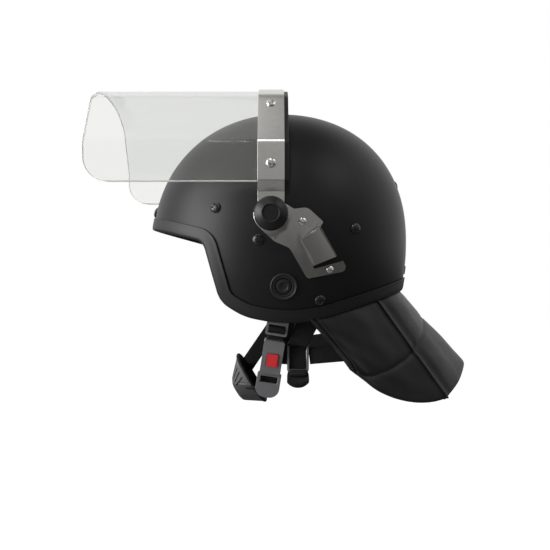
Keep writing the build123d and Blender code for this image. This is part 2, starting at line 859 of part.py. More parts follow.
strip_out = -shell_wall - trim_wall - fit_gap
with BuildPart() as guard_room:
    add(rim_block(trim_wall + soft_gap))
with BuildPart() as strip_room:
    add(dome(strip_out + soft_gap))
    add(rim_block(strip_down + soft_gap), mode=Mode.INTERSECT)

panels = {"neck_guard_left": (0, 3), "neck_guard_rear": (2, 7), "neck_guard_right": (6, 9)}
for name, (first, end) in panels.items():
    with BuildPart() as panel:
        loft(stations[first:end])
        add(guard_room.part, mode=Mode.SUBTRACT)
        add(strip_room.part, mode=Mode.SUBTRACT)
    save(panel.part, name)

# The strip inside the rim that the guard snaps to
with BuildPart() as guard_strip:
    add(dome(strip_out))
    add(dome(strip_out - strip_thick), mode=Mode.SUBTRACT)
    add(rim_block(strip_down), mode=Mode.INTERSECT)
    add(rim_block(-trim_height), mode=Mode.SUBTRACT)
    with BuildSketch(Plane.YZ):
        with Locations((strip_front + reach / 2, 0)):
            Rectangle(reach, 2 * reach)
    extrude(amount=reach, both=True, mode=Mode.INTERSECT)
save(guard_strip.part, "guard_strip")


def rim_z(y):
    """Level of the straight rear run of the rim at a place along the helmet."""
    return ear_z + (nape_z - ear_z) * (y - ear_y) / (nape_y - ear_y)


with BuildPart() as guard_snaps:
    for side in (1, -1):
        for y in snap_places_y:
            plane = on_shell(y, rim_z(y), strip_out - strip_thick, side)
            add(stem(plane, snap_radius, -fit_gap - snap_thick, snap_thick))
save(guard_snaps.part, "guard_snaps")

# Chin strap frame of reference: down each leg, across the webbing, and out
lean = math.radians(hang_lean)
tilt = math.radians(buckle_angle)
hang_up = Vector(0, math.sin(lean), math.cos(lean))
hang_across = Vector(0, math.cos(lean), -math.sin(lean))
hang_origin = Vector(0, hang_y, hang_z)


def leg_plane(along, side=1):
    """A plane that faces outwards, a given length down one leg of the chin strap."""
    inward = Vector(-side * math.sin(tilt), 0, 0)
    down = inward - hang_up * math.cos(tilt)
    out = Vector(side * math.cos(tilt), 0, 0) - hang_up * math.sin(tilt)
    origin = hang_origin + Vector(side * ring_x, 0, 0) + down * along
    return Plane(origin=origin, x_dir=hang_across, z_dir=out)


bar = ring_high / 2 - ring_wire / 2
buckle_top = 2 * bar + buckle_start
buckle_end = buckle_top + buckle_length


def front_anchor(side):
    """Where the front strap of one side starts, on its plate inside the liner."""
    anchor_x = dome_x(anchor_y, anchor_z, liner_in) - anchor_thick - anchor_room
    return (side * anchor_x, anchor_y, anchor_z)


# On the right a ring joins the front strap to the webbing of the chin cup
pivot_bar = leg_plane(2 * bar, -1).origin
save(wire_ring(leg_plane(bar, -1), ring_width, ring_high), "strap_ring_right")
save(strap(front_anchor(-1), leg_plane(0, -1).origin, hang_across, (False, True)), "front_strap_right")

# On the left the front strap weaves through a three-bar slide: behind its top plate, over
# its middle bar and behind its lower bar, then down into the buckle
with BuildPart() as strap_slide:
    add(wire_ring(leg_plane(bar), ring_width, ring_high))
    with BuildSketch(leg_plane(slide_plate / 2 - ring_wire / 2)):
        Rectangle(ring_width - ring_wire, slide_plate)
    extrude(amount=ring_wire / 2, both=True)
    with BuildSketch(leg_plane(slide_bar_along)):
        Rectangle(ring_width - ring_wire, slide_bar)
    extrude(amount=slide_bar / 2, both=True)
save(strap_slide.part, "strap_ring_left")

with BuildPart() as front_strap_left:
    leg = leg_plane(0)
    weave_plane = Plane(origin=leg.origin, x_dir=-leg.y_dir, z_dir=-leg.y_dir.cross(leg.z_dir))
    weave = slide_weave + ((buckle_top - fit_gap - webbing_thick / 2, 0.0),)
    with BuildSketch(weave_plane):
        for (start, low), (end, high) in zip(weave, weave[1:]):
            turn = math.degrees(math.atan2(high - low, end - start))
            with Locations(Location(((start + end) / 2, (low + high) / 2), turn)):
                SlotCenterToCenter(math.hypot(end - start, high - low), webbing_thick)
    extrude(amount=webbing_width / 2, both=True)
    weave_top = weave_plane.from_local_coords((*weave[0], 0))
    add(strap(front_anchor(1), weave_top, hang_across))
save(front_strap_left.part, "front_strap_left")


def leg_block(along, length, width, thick, rounded=0.0):
    """A flat block down the left leg, its thickness centred on the leg."""
    with BuildPart() as block:
        with BuildSketch(leg_plane(along + length / 2)):
            if rounded:
                RectangleRounded(width, length, rounded)
            else:
                Rectangle(width, length)
        extrude(amount=thick / 2, both=True)
    return block.part


# Latch buckle: a flat sleeve with a window for the button and a mouth below
cavity_start = buckle_end - tongue_insert - button_length - 3 * button_gap
button_start = cavity_start + button_gap
sleeve_in = buckle_thick - 2 * buckle_wall
with BuildPart() as buckle_body:
    add(leg_block(buckle_top, buckle_length, buckle_width, buckle_thick, buckle_round))
    add(
        leg_block(cavity_start, reach, buckle_width - 2 * buckle_wall, sleeve_in),
        mode=Mode.SUBTRACT,
    )
    with BuildSketch(leg_plane(button_start + button_length / 2)):
        Rectangle(button_width + 2 * button_gap, button_length + 2 * button_gap)
    extrude(amount=buckle_thick, mode=Mode.SUBTRACT)
save(buckle_body.part, "buckle_body")

with BuildPart() as release_button:
    button_foot = sleeve_in / 2 - button_gap - button_flange
    with BuildSketch(leg_plane(button_start + button_length / 2).offset(button_foot)):
        Rectangle(button_width + 2 * button_flange, button_length)
    extrude(amount=button_flange)
    with BuildSketch(leg_plane(button_start + button_length / 2).offset(button_foot)):
        RectangleRounded(button_width, button_length, button_flange)
    extrude(amount=buckle_thick / 2 + button_proud - button_foot)
save(release_button.part, "release_button")

with BuildPart() as latch_spring:
    with BuildSketch(leg_plane(button_start + button_length / 2).offset(-sleeve_in / 2)):
        Rectangle(button_width, button_length)
    extrude(amount=latch_spring_thick)
save(latch_spring.part, "latch_spring")

# Tongue: a flat insert, then a rounded end with a slot and a bar for the cup webbing
tongue_top = buckle_end + fit_gap
tongue_round = tongue_width / 2 - ring_round
with BuildPart() as tongue:
    add(leg_block(buckle_end - tongue_insert, tongue_insert + tongue_bar, button_width, tongue_thick))
    with BuildSketch(leg_plane(tongue_top)):
        with BuildLine():
            FilletPolyline(
                (-tongue_width / 2, 0), (tongue_width / 2, 0),
                (tongue_width / 2, -tongue_length), (-tongue_width / 2, -tongue_length),
                radius=(ring_round, ring_round, tongue_round, tongue_round),
                close=True,
            )
        make_face()
        with Locations((0, -tongue_bar - tongue_slot / 2)):
            Rectangle(webbing_width + 2 * button_gap, tongue_slot, mode=Mode.SUBTRACT)
    extrude(amount=tongue_thick / 2, both=True)
save(tongue.part, "tongue")

# Chin cup: a padded bowl that hangs forward of the webbing
cup_out = Vector(0, -math.sin(math.radians(cup_lean)), -math.cos(math.radians(cup_lean)))
cup_plane = Plane(origin=(0, cup_y, cup_z), x_dir=(1, 0, 0), z_dir=cup_out)


def bowl(inset, lift):
    """A bowl of elliptical levels, smaller by an inset and starting a little below the rim plane."""
    with BuildPart() as levels:
        for angle in cup_angles:
            turn = math.radians(angle)
            depth = -lift + (cup_deep - inset + lift) * math.sin(turn)
            with BuildSketch(cup_plane.offset(depth)):
                Ellipse((cup_half_width - inset) * math.cos(turn), (cup_half_high - inset) * math.cos(turn))
        loft()
    return levels.part


cup_skin = bowl(cup_wall, fit_gap)
cup_room = bowl(-soft_gap, soft_gap)
with BuildPart() as chin_cup:
    add(bowl(0.0, 0.0))
    add(cup_skin, mode=Mode.SUBTRACT)
save(chin_cup.part, "chin_cup")

with BuildPart() as cup_lining:
    add(bowl(cup_wall + soft_gap, 0.0))
    add(bowl(cup_wall + cup_lining_thick, fit_gap), mode=Mode.SUBTRACT)
save(cup_lining.part, "cup_lining")

slot_along = tongue_top + tongue_bar + tongue_slot / 2
near_end = (cup_strap_x, cup_y + cup_strap_near[0], cup_z + cup_strap_near[1])
far_end = (-cup_strap_x, cup_y + cup_strap_far[0], cup_z + cup_strap_far[1])
with BuildPart() as cup_strap_left:
    near_start = leg_plane(slot_along).offset(-tongue_thick / 2 - webbing_thick).origin
    add(strap(near_start, near_end, hang_across))
    add(cup_room, mode=Mode.SUBTRACT)
save(cup_strap_left.part, "cup_strap_left")
with BuildPart() as cup_strap_right:
    add(strap(pivot_bar, far_end, hang_across, (True, False)))
    add(cup_room, mode=Mode.SUBTRACT)
save(cup_strap_right.part, "cup_strap_right")

# Rear webbing on each side: a ring that joins the rear strap, the nape strap and the spare loop
for name, side in {"left": 1, "right": -1}.items():
    ring_plane = Plane(
        origin=(side * rear_ring_x, rear_ring_y, rear_ring_z), x_dir=(0, 1, 0), z_dir=(1, 0, 0),
    )
    half_high = (rear_ring_high - ring_wire) / 2
    save(wire_ring(ring_plane, ring_width, rear_ring_high), f"rear_ring_{name}")
    anchor_x = dome_x(rear_anchor_y, rear_anchor_z, liner_in) - anchor_thick - rear_anchor_room
    top_bar = (side * rear_ring_x, rear_ring_y, rear_ring_z + half_high)
    save(
        strap((side * anchor_x, rear_anchor_y, rear_anchor_z), top_bar, (0, 1, 0), (False, True)),
        f"rear_strap_{name}",
    )

with BuildPart() as strap_anchors:
    add(dome(liner_in - fit_gap))
    add(dome(liner_in - anchor_thick), mode=Mode.SUBTRACT)
    with BuildSketch(Plane.YZ):
        with Locations((anchor_y, anchor_z), (rear_anchor_y, rear_anchor_z)):
            RectangleRounded(anchor_plate, anchor_high, ring_round)
    extrude(amount=reach, both=True, mode=Mode.INTERSECT)
save(strap_anchors.part, "strap_anchors")


def nape_area(inset):
    """The area inside the nape strap, seen along its width."""
    half = ((nape_corner_x, -overrun), (nape_corner_x, nape_corner_y), (nape_back_x, nape_back_y))
    other = tuple((-x, y) for x, y in reversed(half))
    with BuildSketch() as area:
        with BuildLine():
            FilletPolyline(
                *half, (0, nape_rear_y), *other, close=True,
                radius=(0, nape_round, nape_round, 0, nape_round, nape_round, 0),
            )
        make_face()
        offset(amount=-inset, kind=Kind.INTERSECTION)
    return area.sketch


# Nape strap: a band round the back of the neck, looped round the rear bars of its rings
rear_bar_y = rear_ring_y + (ring_width - ring_wire) / 2
with BuildPart() as nape_strap:
    with BuildSketch(Plane(origin=(0, rear_bar_y, rear_ring_z))):
        add(nape_area(fit_gap))
        add(nape_area(nape_thick), mode=Mode.SUBTRACT)
        with Locations((0, -reach / 2)):
            Rectangle(2 * reach, reach, mode=Mode.SUBTRACT)
        with Locations((rear_ring_x, 0), (-rear_ring_x, 0)):
            Circle(loop_out)
            Circle(loop_in, mode=Mode.SUBTRACT)
    extrude(amount=reach, both=True)
    with BuildSketch(Plane.YZ):
        with Locations(Location((rear_bar_y, rear_ring_z), nape_rise)):
            Rectangle(2 * reach, nape_high)
    extrude(amount=reach, both=True, mode=Mode.INTERSECT)
save(nape_strap.part, "nape_strap")

# The spare webbing of the near side hangs from its ring in a loop
tail_top = rear_ring_z - half_high
with BuildPart() as spare_loop:
    with BuildSketch(Plane.XZ.offset(-rear_ring_y)):
        with Locations((rear_ring_x, tail_top)):
            Circle(loop_out)
        with Locations((rear_ring_x, tail_top - tail_drop / 2)):
            Rectangle(2 * tail_half, tail_drop)
        with Locations((rear_ring_x, tail_top - tail_drop)):
            Circle(tail_half)
            Circle(tail_half - webbing_thick, mode=Mode.SUBTRACT)
        with Locations((rear_ring_x, tail_top - tail_drop / 2)):
            Rectangle(2 * (tail_half - webbing_thick), tail_drop - 2 * loop_out, mode=Mode.SUBTRACT)
        with Locations((rear_ring_x, tail_top)):
            Circle(loop_in, mode=Mode.SUBTRACT)
    extrude(amount=webbing_width / 2, both=True)
save(spare_loop.part, "spare_loop")
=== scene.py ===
"""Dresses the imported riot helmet: smooth surfaces, sewn soft parts, finishes, studio and camera.

Lengths are in metres in the model's own frame: +Z is up, the face looks along -Y and +X is the
wearer's left. The visor turns about the X axis through the origin. Numbers written as so many
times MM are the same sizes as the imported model's.
"""

import math

import bmesh
import bpy
import numpy as np
from bpy.props import FloatProperty, FloatVectorProperty
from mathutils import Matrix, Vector


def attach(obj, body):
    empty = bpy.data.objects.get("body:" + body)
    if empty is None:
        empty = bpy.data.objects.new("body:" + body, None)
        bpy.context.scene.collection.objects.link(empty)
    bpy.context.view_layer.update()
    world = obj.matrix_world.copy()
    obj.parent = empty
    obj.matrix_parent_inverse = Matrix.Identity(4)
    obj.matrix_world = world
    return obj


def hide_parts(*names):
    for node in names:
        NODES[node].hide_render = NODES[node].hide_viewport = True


bl_info = {
    "name": "Riot Helmet Dressing",
    "version": (1, 0, 0),
    "blender": (4, 5, 0),
    "location": "View3D > Sidebar > Helmet",
    "description": "Builds the surfaces, soft parts and finishes of a riot helmet on its packed frame",
    "category": "Object",
}

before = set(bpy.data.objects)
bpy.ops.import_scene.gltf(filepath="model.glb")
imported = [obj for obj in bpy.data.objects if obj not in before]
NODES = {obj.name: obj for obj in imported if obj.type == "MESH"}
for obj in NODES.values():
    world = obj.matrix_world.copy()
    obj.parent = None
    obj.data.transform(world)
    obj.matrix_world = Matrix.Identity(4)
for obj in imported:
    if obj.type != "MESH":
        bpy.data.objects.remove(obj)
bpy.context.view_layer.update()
MM = 0.001

# The dome of the shell: half axes, centre and the powers of its upright sections
HALF, FRONT, REAR, TALL, DEEP = 118 * MM, 139.5 * MM, 138 * MM, 138.5 * MM, 150 * MM
DOME_Y, DOME_Z = 10 * MM, -22 * MM
SIDE_POWER, FRONT_POWER, REAR_POWER = 2.3, 2.07, 2.22
RIM_CORNERS = np.array([(-180, 5.5), (-66, -24), (-49, -84), (-26, -98), (26, -108), (180, -62)]) * MM
RIM_RADII = np.array([0, 14, 25, 60, 150, 0]) * MM

# The thickness of the visor arch and its bent outline, seen from the front, left half
BAND = 2 * MM
ARCH_CORNERS = np.array(
    [(123.5, -30), (123.5, 22), (127.4, 32), (127.4, 70), (90, 122), (50, 137), (0, 140.5)]
) * MM
ARCH_RADII = np.array([0, 4, 4, 8, 25, 100, 150]) * MM


def colour_prop(name, description, default):
    """A colour, as linear light."""
    return FloatVectorProperty(
        name=name, description=description, subtype="COLOR", size=3, default=default, min=0, max=1,
    )


def length_prop(name, description, default, low, high):
    """A length and its limits, given in millimetres."""
    return FloatProperty(
        name=name, description=description, default=default * MM, min=low * MM, max=high * MM,
        unit="LENGTH",
    )


def watts_prop(name, description, default):
    """The power of a lamp in watts."""
    return FloatProperty(name=name, description=description, default=default, min=0)


class HelmetColours(bpy.types.PropertyGroup):
    """Colours of the finishes."""

    shell: colour_prop("Shell", "Moulded shell", (0.0062, 0.0062, 0.0064))
    rubber: colour_prop("Rubber", "Edge trim, seal and grommets", (0.0055, 0.0055, 0.0057))
    steel: colour_prop("Steel", "Pressed bracket and visor arch", (0.62, 0.61, 0.58))
    visor: colour_prop("Visor tint", "Tint of the clear visor", (0.77, 0.78, 0.755))
    leathercloth: colour_prop("Leathercloth", "Neck guard cover", (0.009, 0.009, 0.0093))
    webbing: colour_prop("Webbing", "Straps, nape band and pad cloth", (0.0032, 0.0032, 0.0034))
    hardware: colour_prop("Buckles", "Moulded buckle, tongue and rings", (0.15, 0.15, 0.155))
    button: colour_prop("Button", "Release button", (0.72, 0.03, 0.035))


class HelmetSizes(bpy.types.PropertyGroup):
    """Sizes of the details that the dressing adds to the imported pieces."""

    shell_wall: length_prop("Shell wall", "Thickness of the moulded shell", 3.7, 2, 4)
    seam_sink: length_prop("Seam depth", "How deep a sewn seam pulls the padded guard in", 2.4, 0, 4)
    swell: length_prop("Guard swell", "How far a padded panel of the guard swells", 2.2, 0, 6)
    piping: length_prop("Piping", "Radius of the corded edges of the guard", 1.0, 0.5, 2)
    webbing_width: length_prop("Webbing width", "Width of the strap webbing", 17, 10, 25)
    webbing_thick: length_prop("Webbing thickness", "Thickness of one layer of webbing", 1.5, 0.8, 2)


class HelmetStudio(bpy.types.PropertyGroup):
    """Camera and lamps."""

    camera_x: FloatProperty(
        name="Camera distance", description="Distance of the camera from the middle plane",
        default=0.895, min=0.3, max=5, unit="LENGTH",
    )
    camera_y: FloatProperty(name="Camera along", description="Camera's place along Y", default=0.0038)
    camera_z: FloatProperty(name="Camera height", description="Camera height", default=-0.0585)
    lens: FloatProperty(
        name="Lens", description="Focal length on a 36 mm wide frame", default=52.756, min=20, max=200,
    )
    key: watts_prop("Key lamp", "Power of the front lamp in watts", 27)
    top: watts_prop("Top lamp", "Power of the overhead lamp in watts", 2.8)
    crease: watts_prop("Spot lamp", "Power of the small high lamp in watts", 1.5)
    fill: watts_prop("Fill lamp", "Power of the rear lamp in watts", 3)
    floor_z: FloatProperty(name="Floor height", description="Level of the floor", default=-0.40)


def colours():
    """The colours chosen in the scene."""
    return bpy.context.scene.helmet_colours


def sizes():
    """The sizes chosen in the scene."""
    return bpy.context.scene.helmet_sizes


# Curves and surfaces


def superellipse(level, power):
    """(1 - |level|^power)^(1/power): the half breadth at a level, as a share of the widest."""
    return np.maximum(1 - np.abs(level) ** power, 0) ** (1 / power)


def dome_axes(z, grow):
    """Half width, front and rear lengths of the dome at level z, grown outwards by a length."""
    share = (z - DOME_Z) / (np.where(z > DOME_Z, TALL, DEEP) + grow)
    return (
        (HALF + grow) * superellipse(share, SIDE_POWER),
        (FRONT + grow) * superellipse(share, FRONT_POWER),
        (REAR + grow) * superellipse(share, REAR_POWER),
    )


def dome_x(y, z, grow=0.0):
    """x of the dome's side at (y, z): its half width there times the height of a unit ellipse."""
    across, ahead, behind = dome_axes(z, grow)
    along = np.where(y < DOME_Y, ahead, behind)
    return across * np.sqrt(np.maximum(1 - ((y - DOME_Y) / np.maximum(along, 1e-6)) ** 2, 0))


def on_dome(y, z, grow=0.0, side=1):
    """A place on the dome's side and its outward normal, from the surface's two slopes."""
    step = 0.1 * MM
    x = dome_x(y, z, grow)
    slope_y = (dome_x(y + step, z, grow) - dome_x(y - step, z, grow)) / (2 * step)
    slope_z = (dome_x(y, z + step, grow) - dome_x(y, z - step, grow)) / (2 * step)
    normal = np.array((side, -slope_y, -slope_z), float)
    return np.array((side * x, y, z), float), normal / np.linalg.norm(normal)


def rounded_path(corners, radii, step=0.8 * MM):
    """A polyline whose corners are arcs of the given radii, as evenly spaced points."""
    pieces = [corners[:1]]
    for before, corner, after, radius in zip(corners, corners[1:], corners[2:], radii[1:]):
        back, on = before - corner, after - corner
        back, on = back / np.linalg.norm(back), on / np.linalg.norm(on)
        half = math.acos(float(np.clip(back @ on, -1, 1))) / 2
        middle = (back + on) / np.linalg.norm(back + on)
        centre = corner + middle * radius / math.sin(half)
        start = corner + back * radius / math.tan(half) - centre
        end = corner + on * radius / math.tan(half) - centre
        t = np.linspace(0, 1, 24)[:, None]
        swing = math.pi - 2 * half
        arc = (np.sin((1 - t) * swing) * start + np.sin(t * swing) * end) / math.sin(swing)
        pieces.append(centre + arc)
    pieces.append(corners[-1:])
    return evenly(np.concatenate(pieces), step=step)


def evenly(points, count=None, step=1.0 * MM):
    """The same line with points at even distances along it."""
    lengths = np.r_[0, np.cumsum(np.linalg.norm(np.diff(points, axis=0), axis=1))]
    keep = np.r_[True, np.diff(lengths) > 1e-9]
    lengths, points = lengths[keep], points[keep]
    count = count or max(int(lengths[-1] / step), 4)
    at = np.linspace(0, lengths[-1], count)
    return np.stack([np.interp(at, lengths, column) for column in points.T], axis=1)


def moved_out(path, distance):
    """A flat line moved sideways by a distance along its normals."""
    run = np.gradient(path, axis=0)
    run /= np.linalg.norm(run, axis=1)[:, None]
    return path + distance * np.stack([run[:, 1], -run[:, 0]], axis=1)


RIM = rounded_path(RIM_CORNERS, RIM_RADII)


def rim_curve(grow, drop, count):
    """The rim on the wearer's left from brow to nape: the rim line in side view, moved out by
    drop, laid on the dome grown by grow."""
    y, z = moved_out(RIM, drop).T
    across, ahead, behind = dome_axes(z, grow)
    share = (y - DOME_Y) / np.where(y < DOME_Y, ahead, behind)
    inside = np.flatnonzero(np.abs(share) < 1)
    first, last = inside[0], inside[-1]
    ends = []
    for a, b, goal in ((first - 1, first, -1), (last + 1, last, 1)):
        mix = (goal - share[a]) / (share[b] - share[a])
        ends.append((y[a] + mix * (y[b] - y[a]), z[a] + mix * (z[b] - z[a])))
    y = np.r_[ends[0][0], y[first:last + 1], ends[1][0]]
    z = np.r_[ends[0][1], z[first:last + 1], ends[1][1]]
    x = dome_x(y, z, grow)
    x[0] = x[-1] = 0
    return evenly(np.stack([x, y, z], axis=1), count=count)


def both_sides(left):
    """A closed ring: the left half from brow to nape, then its mirror image back again."""
    return np.concatenate([left, (left * (-1, 1, 1))[-2:0:-1]])


def spline(points, count):
    """A smooth line through points: between two points a cubic in the distance along them, whose
    slopes at the points come from their neighbours."""
    points = np.asarray(points, float)
    knots = np.r_[0, np.cumsum(np.linalg.norm(np.diff(points, axis=0), axis=1))]
    knots /= knots[-1]
    at = np.linspace(0, 1, count)
    slopes = np.gradient(points, knots, axis=0)
    i = np.clip(np.searchsorted(knots, at, side="right") - 1, 0, len(points) - 2)
    gap = (knots[i + 1] - knots[i])[:, None]
    t = ((at - knots[i])[:, None]) / gap
    return (
        (2 * t**3 - 3 * t**2 + 1) * points[i] + (t**3 - 2 * t**2 + t) * gap * slopes[i]
        + (3 * t**2 - 2 * t**3) * points[i + 1] + (t**3 - t**2) * gap * slopes[i + 1]
    )


def arch_path(inset, low):
    """The arch's outline moved inwards, from its left foot over the crown to its right foot."""
    mirrored = (ARCH_CORNERS * (-1, 1))[-2::-1]
    corners = np.concatenate([ARCH_CORNERS, mirrored])
    radii = np.r_[ARCH_RADII, ARCH_RADII[-2::-1]]
    path = moved_out(rounded_path(corners, radii), -inset)
    kept = path[path[:, 1] >= low]
    left, right = kept[0].copy(), kept[-1].copy()
    left[1] = right[1] = low
    return np.concatenate([[left], kept, [right]])


def grid_faces(rows, columns, close_rows=False, close_columns=False):
    """Quads of a grid of points counted row by row, as index arithmetic on whole arrays."""
    i = np.arange(rows if close_rows else rows - 1)[:, None]
    j = np.arange(columns if close_columns else columns - 1)[None, :]
    down, right = (i + 1) % rows, (j + 1) % columns
    corners = (i * columns + j, i * columns + right, down * columns + right, down * columns + j)
    return np.stack([c.reshape(-1) for c in np.broadcast_arrays(*corners)], axis=1)


def new_object(name, data):
    """An object in the scene that holds some data."""
    made = bpy.data.objects.new(name, data)
    bpy.context.scene.collection.objects.link(made)
    return made


def worked(mesh, *steps):
    """Runs bmesh operators on a mesh: each step is an operator and a function of its settings."""
    bm = bmesh.new()
    bm.from_mesh(mesh)
    for operator, settings in steps:
        operator(bm, **settings(bm))
    bm.to_mesh(mesh)
    bm.free()


def dress(name, mesh, slot, body, nodes, angle, look=None):
    """The piece of a mesh: smooth except at edges sharper than an angle, riding on a body and
    standing for CAD nodes. It has the finish of its slot, or of another one if look names it."""
    mesh.materials.clear()
    mesh.materials.append(finish(look or slot))
    mesh.shade_smooth()
    mesh.set_sharp_from_angle(angle=math.radians(angle))
    piece = new_object(name, mesh)
    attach(piece, body)
    if nodes:
        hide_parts(*nodes)
    return piece


def put(name, points, faces, slot, body="helmet", nodes=None, angle=35.0, weave=None, look=None):
    """A piece from arrays, its doubles merged and its faces turned outwards. Unless nodes are
    given, it stands for the CAD node of its own name, if there is one."""
    mesh = bpy.data.meshes.new(name)
    corners = np.asarray(points, float).reshape(-1, 3).tolist()
    mesh.from_pydata(corners, [], [list(map(int, face)) for face in faces])
    if weave is not None:
        layer = mesh.attributes.new("weave", "FLOAT_VECTOR", "POINT")
        layer.data.foreach_set("vector", np.asarray(weave, np.float32).reshape(-1))
    worked(
        mesh,
        (bmesh.ops.remove_doubles, lambda bm: {"verts": bm.verts, "dist": 0.005 * MM}),
        (bmesh.ops.dissolve_degenerate, lambda bm: {"edges": bm.edges, "dist": 0.002 * MM}),
        (bmesh.ops.recalc_face_normals, lambda bm: {"faces": bm.faces}),
    )
    if nodes is None:
        nodes = [name.lower()] if name.lower() in NODES else []
    return dress(name, mesh, slot, body, nodes, angle, look)


def eased(name, node, slot, radius, body="helmet", angle=32.0, flat=0.6):
    """A copy of a CAD node with its doubles merged and its flat faces joined, and its edges
    rounded by a Bevel modifier. It stands for the node."""
    mesh = NODES[node].data.copy()
    mesh.name = name
    limit = {"angle_limit": math.radians(flat), "delimit": {"NORMAL"}}
    worked(
        mesh,
        (bmesh.ops.remove_doubles, lambda bm: {"verts": bm.verts, "dist": 0.004 * MM}),
        (bmesh.ops.dissolve_limit, lambda bm: {"verts": bm.verts, "edges": bm.edges, **limit}),
    )
    piece = dress(name, mesh, slot, body, [node], angle)
    edges = piece.modifiers.new("Edges", "BEVEL")
    edges.width, edges.segments, edges.limit_method = radius, 2, "ANGLE"
    edges.angle_limit, edges.harden_normals = math.radians(angle), True


def thicken(piece, thickness):
    """Gives a one-sided surface its wall, on its inner side, with a Solidify modifier."""
    wall = piece.modifiers.new("Wall", "SOLIDIFY")
    wall.thickness, wall.offset, wall.use_even_offset = thickness, -1.0, True


def frames_along(path, across):
    """Side and normal directions at each point of a path: side is across made square to the run."""
    run = np.gradient(path, axis=0)
    run /= np.linalg.norm(run, axis=1)[:, None]
    across = np.broadcast_to(np.asarray(across, float), path.shape)
    side = across - (across * run).sum(1)[:, None] * run
    side /= np.linalg.norm(side, axis=1)[:, None]
    return side, np.cross(run, side)


def swept(path, across, section, widen=(1, 1)):
    """A closed section carried along a path: points, faces with end caps, and woven places. The
    section's width is multiplied by factors given for even steps along the path."""
    side, normal = frames_along(path, across)
    grow = np.interp(np.linspace(0, 1, len(path)), np.linspace(0, 1, len(widen)), widen)
    points = path[:, None] + side[:, None] * section[None, :, :1] * grow[:, None, None]
    points += normal[:, None] * section[None, :, 1:]
    rows, columns = points.shape[:2]
    faces = grid_faces(rows, columns, close_columns=True).tolist()
    faces += [list(range(columns))[::-1], list(range((rows - 1) * columns, rows * columns))]
    along = np.r_[0, np.cumsum(np.linalg.norm(np.diff(path, axis=0), axis=1))]
    weave = np.zeros((rows, columns, 3))
    weave[..., 0], weave[..., 1] = along[:, None], section[None, :, 0]
    return points, faces, weave


def flat_section(width, thick, count=10):
    """A strap's cross-section: a slightly crowned face and round selvedges."""
    t = np.linspace(-1, 1, count)
    half = thick / 2
    face = np.stack([t * (width / 2 - half), half * (1 - 0.12 * t**4)], axis=1)
    turn = np.linspace(0, math.pi, 6)[1:-1]
    edge = np.stack([width / 2 - half + half * np.sin(turn), half * 0.88 * np.cos(turn)], axis=1)
    return np.concatenate([face, edge, -face, -edge])


def round_section(radius, count=10):
    """A circle's points."""
    turn = np.linspace(0, 2 * math.pi, count, endpoint=False)
    return radius * np.stack([np.cos(turn), np.sin(turn)], axis=1)


def upright_frame(normal):
    """Two directions square to a normal and to each other."""
    normal = np.asarray(normal, float) / np.linalg.norm(normal)
    first = np.cross((0, 0, 1), normal)
    first = first / np.linalg.norm(first) if np.linalg.norm(first) > 1e-6 else np.array((1.0, 0, 0))
    return first, np.cross(normal, first), normal


def revolved(origin, normal, profile, count=40):
    """A profile of (radius, height) pairs turned about a normal: a grid of rings."""
    first, second, axis = upright_frame(normal)
    turn = np.linspace(0, 2 * math.pi, count, endpoint=False)
    ring = np.cos(turn)[:, None] * first + np.sin(turn)[:, None] * second
    profile = np.asarray(profile, float)
    points = origin + profile[:, 0, None, None] * ring[None] + profile[:, 1, None, None] * axis
    return points, grid_faces(len(profile), count, close_columns=True)


def joined(parts):
    """Several (points, faces) meshes as one."""
    points, faces, start = [], [], 0
    for some_points, some_faces in parts:
        flat = np.asarray(some_points).reshape(-1, 3)
        points.append(flat)
        faces += [[int(k) + start for k in face] for face in some_faces]
        start += len(flat)
    return np.concatenate(points), faces


# Shader maths


class Number:
    """A number socket of a material. Sums and products of it add Math nodes."""

    def __init__(self, tree, socket):
        self.tree, self.socket = tree, socket

    def math(self, operation, *values):
        return self.tree.node("ShaderNodeMath", {"operation": operation}, *values)

    def __add__(self, other):
        return self.math("ADD", self, other)

    def __sub__(self, other):
        return self.math("SUBTRACT", self, other)

    def __rsub__(self, other):
        return self.math("SUBTRACT", other, self)

    def __mul__(self, other):
        return self.math("MULTIPLY", self, other)

    def __gt__(self, other):
        return self.math("GREATER_THAN", self, other)

    def __abs__(self):
        return self.math("ABSOLUTE", self)

    __radd__, __rmul__ = __add__, __mul__

    def sine(self):
        return self.math("SINE", self)

    def ramp(self, low, high):
        """0 below low, 1 above high and smooth between."""
        settings = {"interpolation_type": "SMOOTHSTEP"}
        return self.tree.node("ShaderNodeMapRange", settings, self, low, high, 0.0, 1.0)


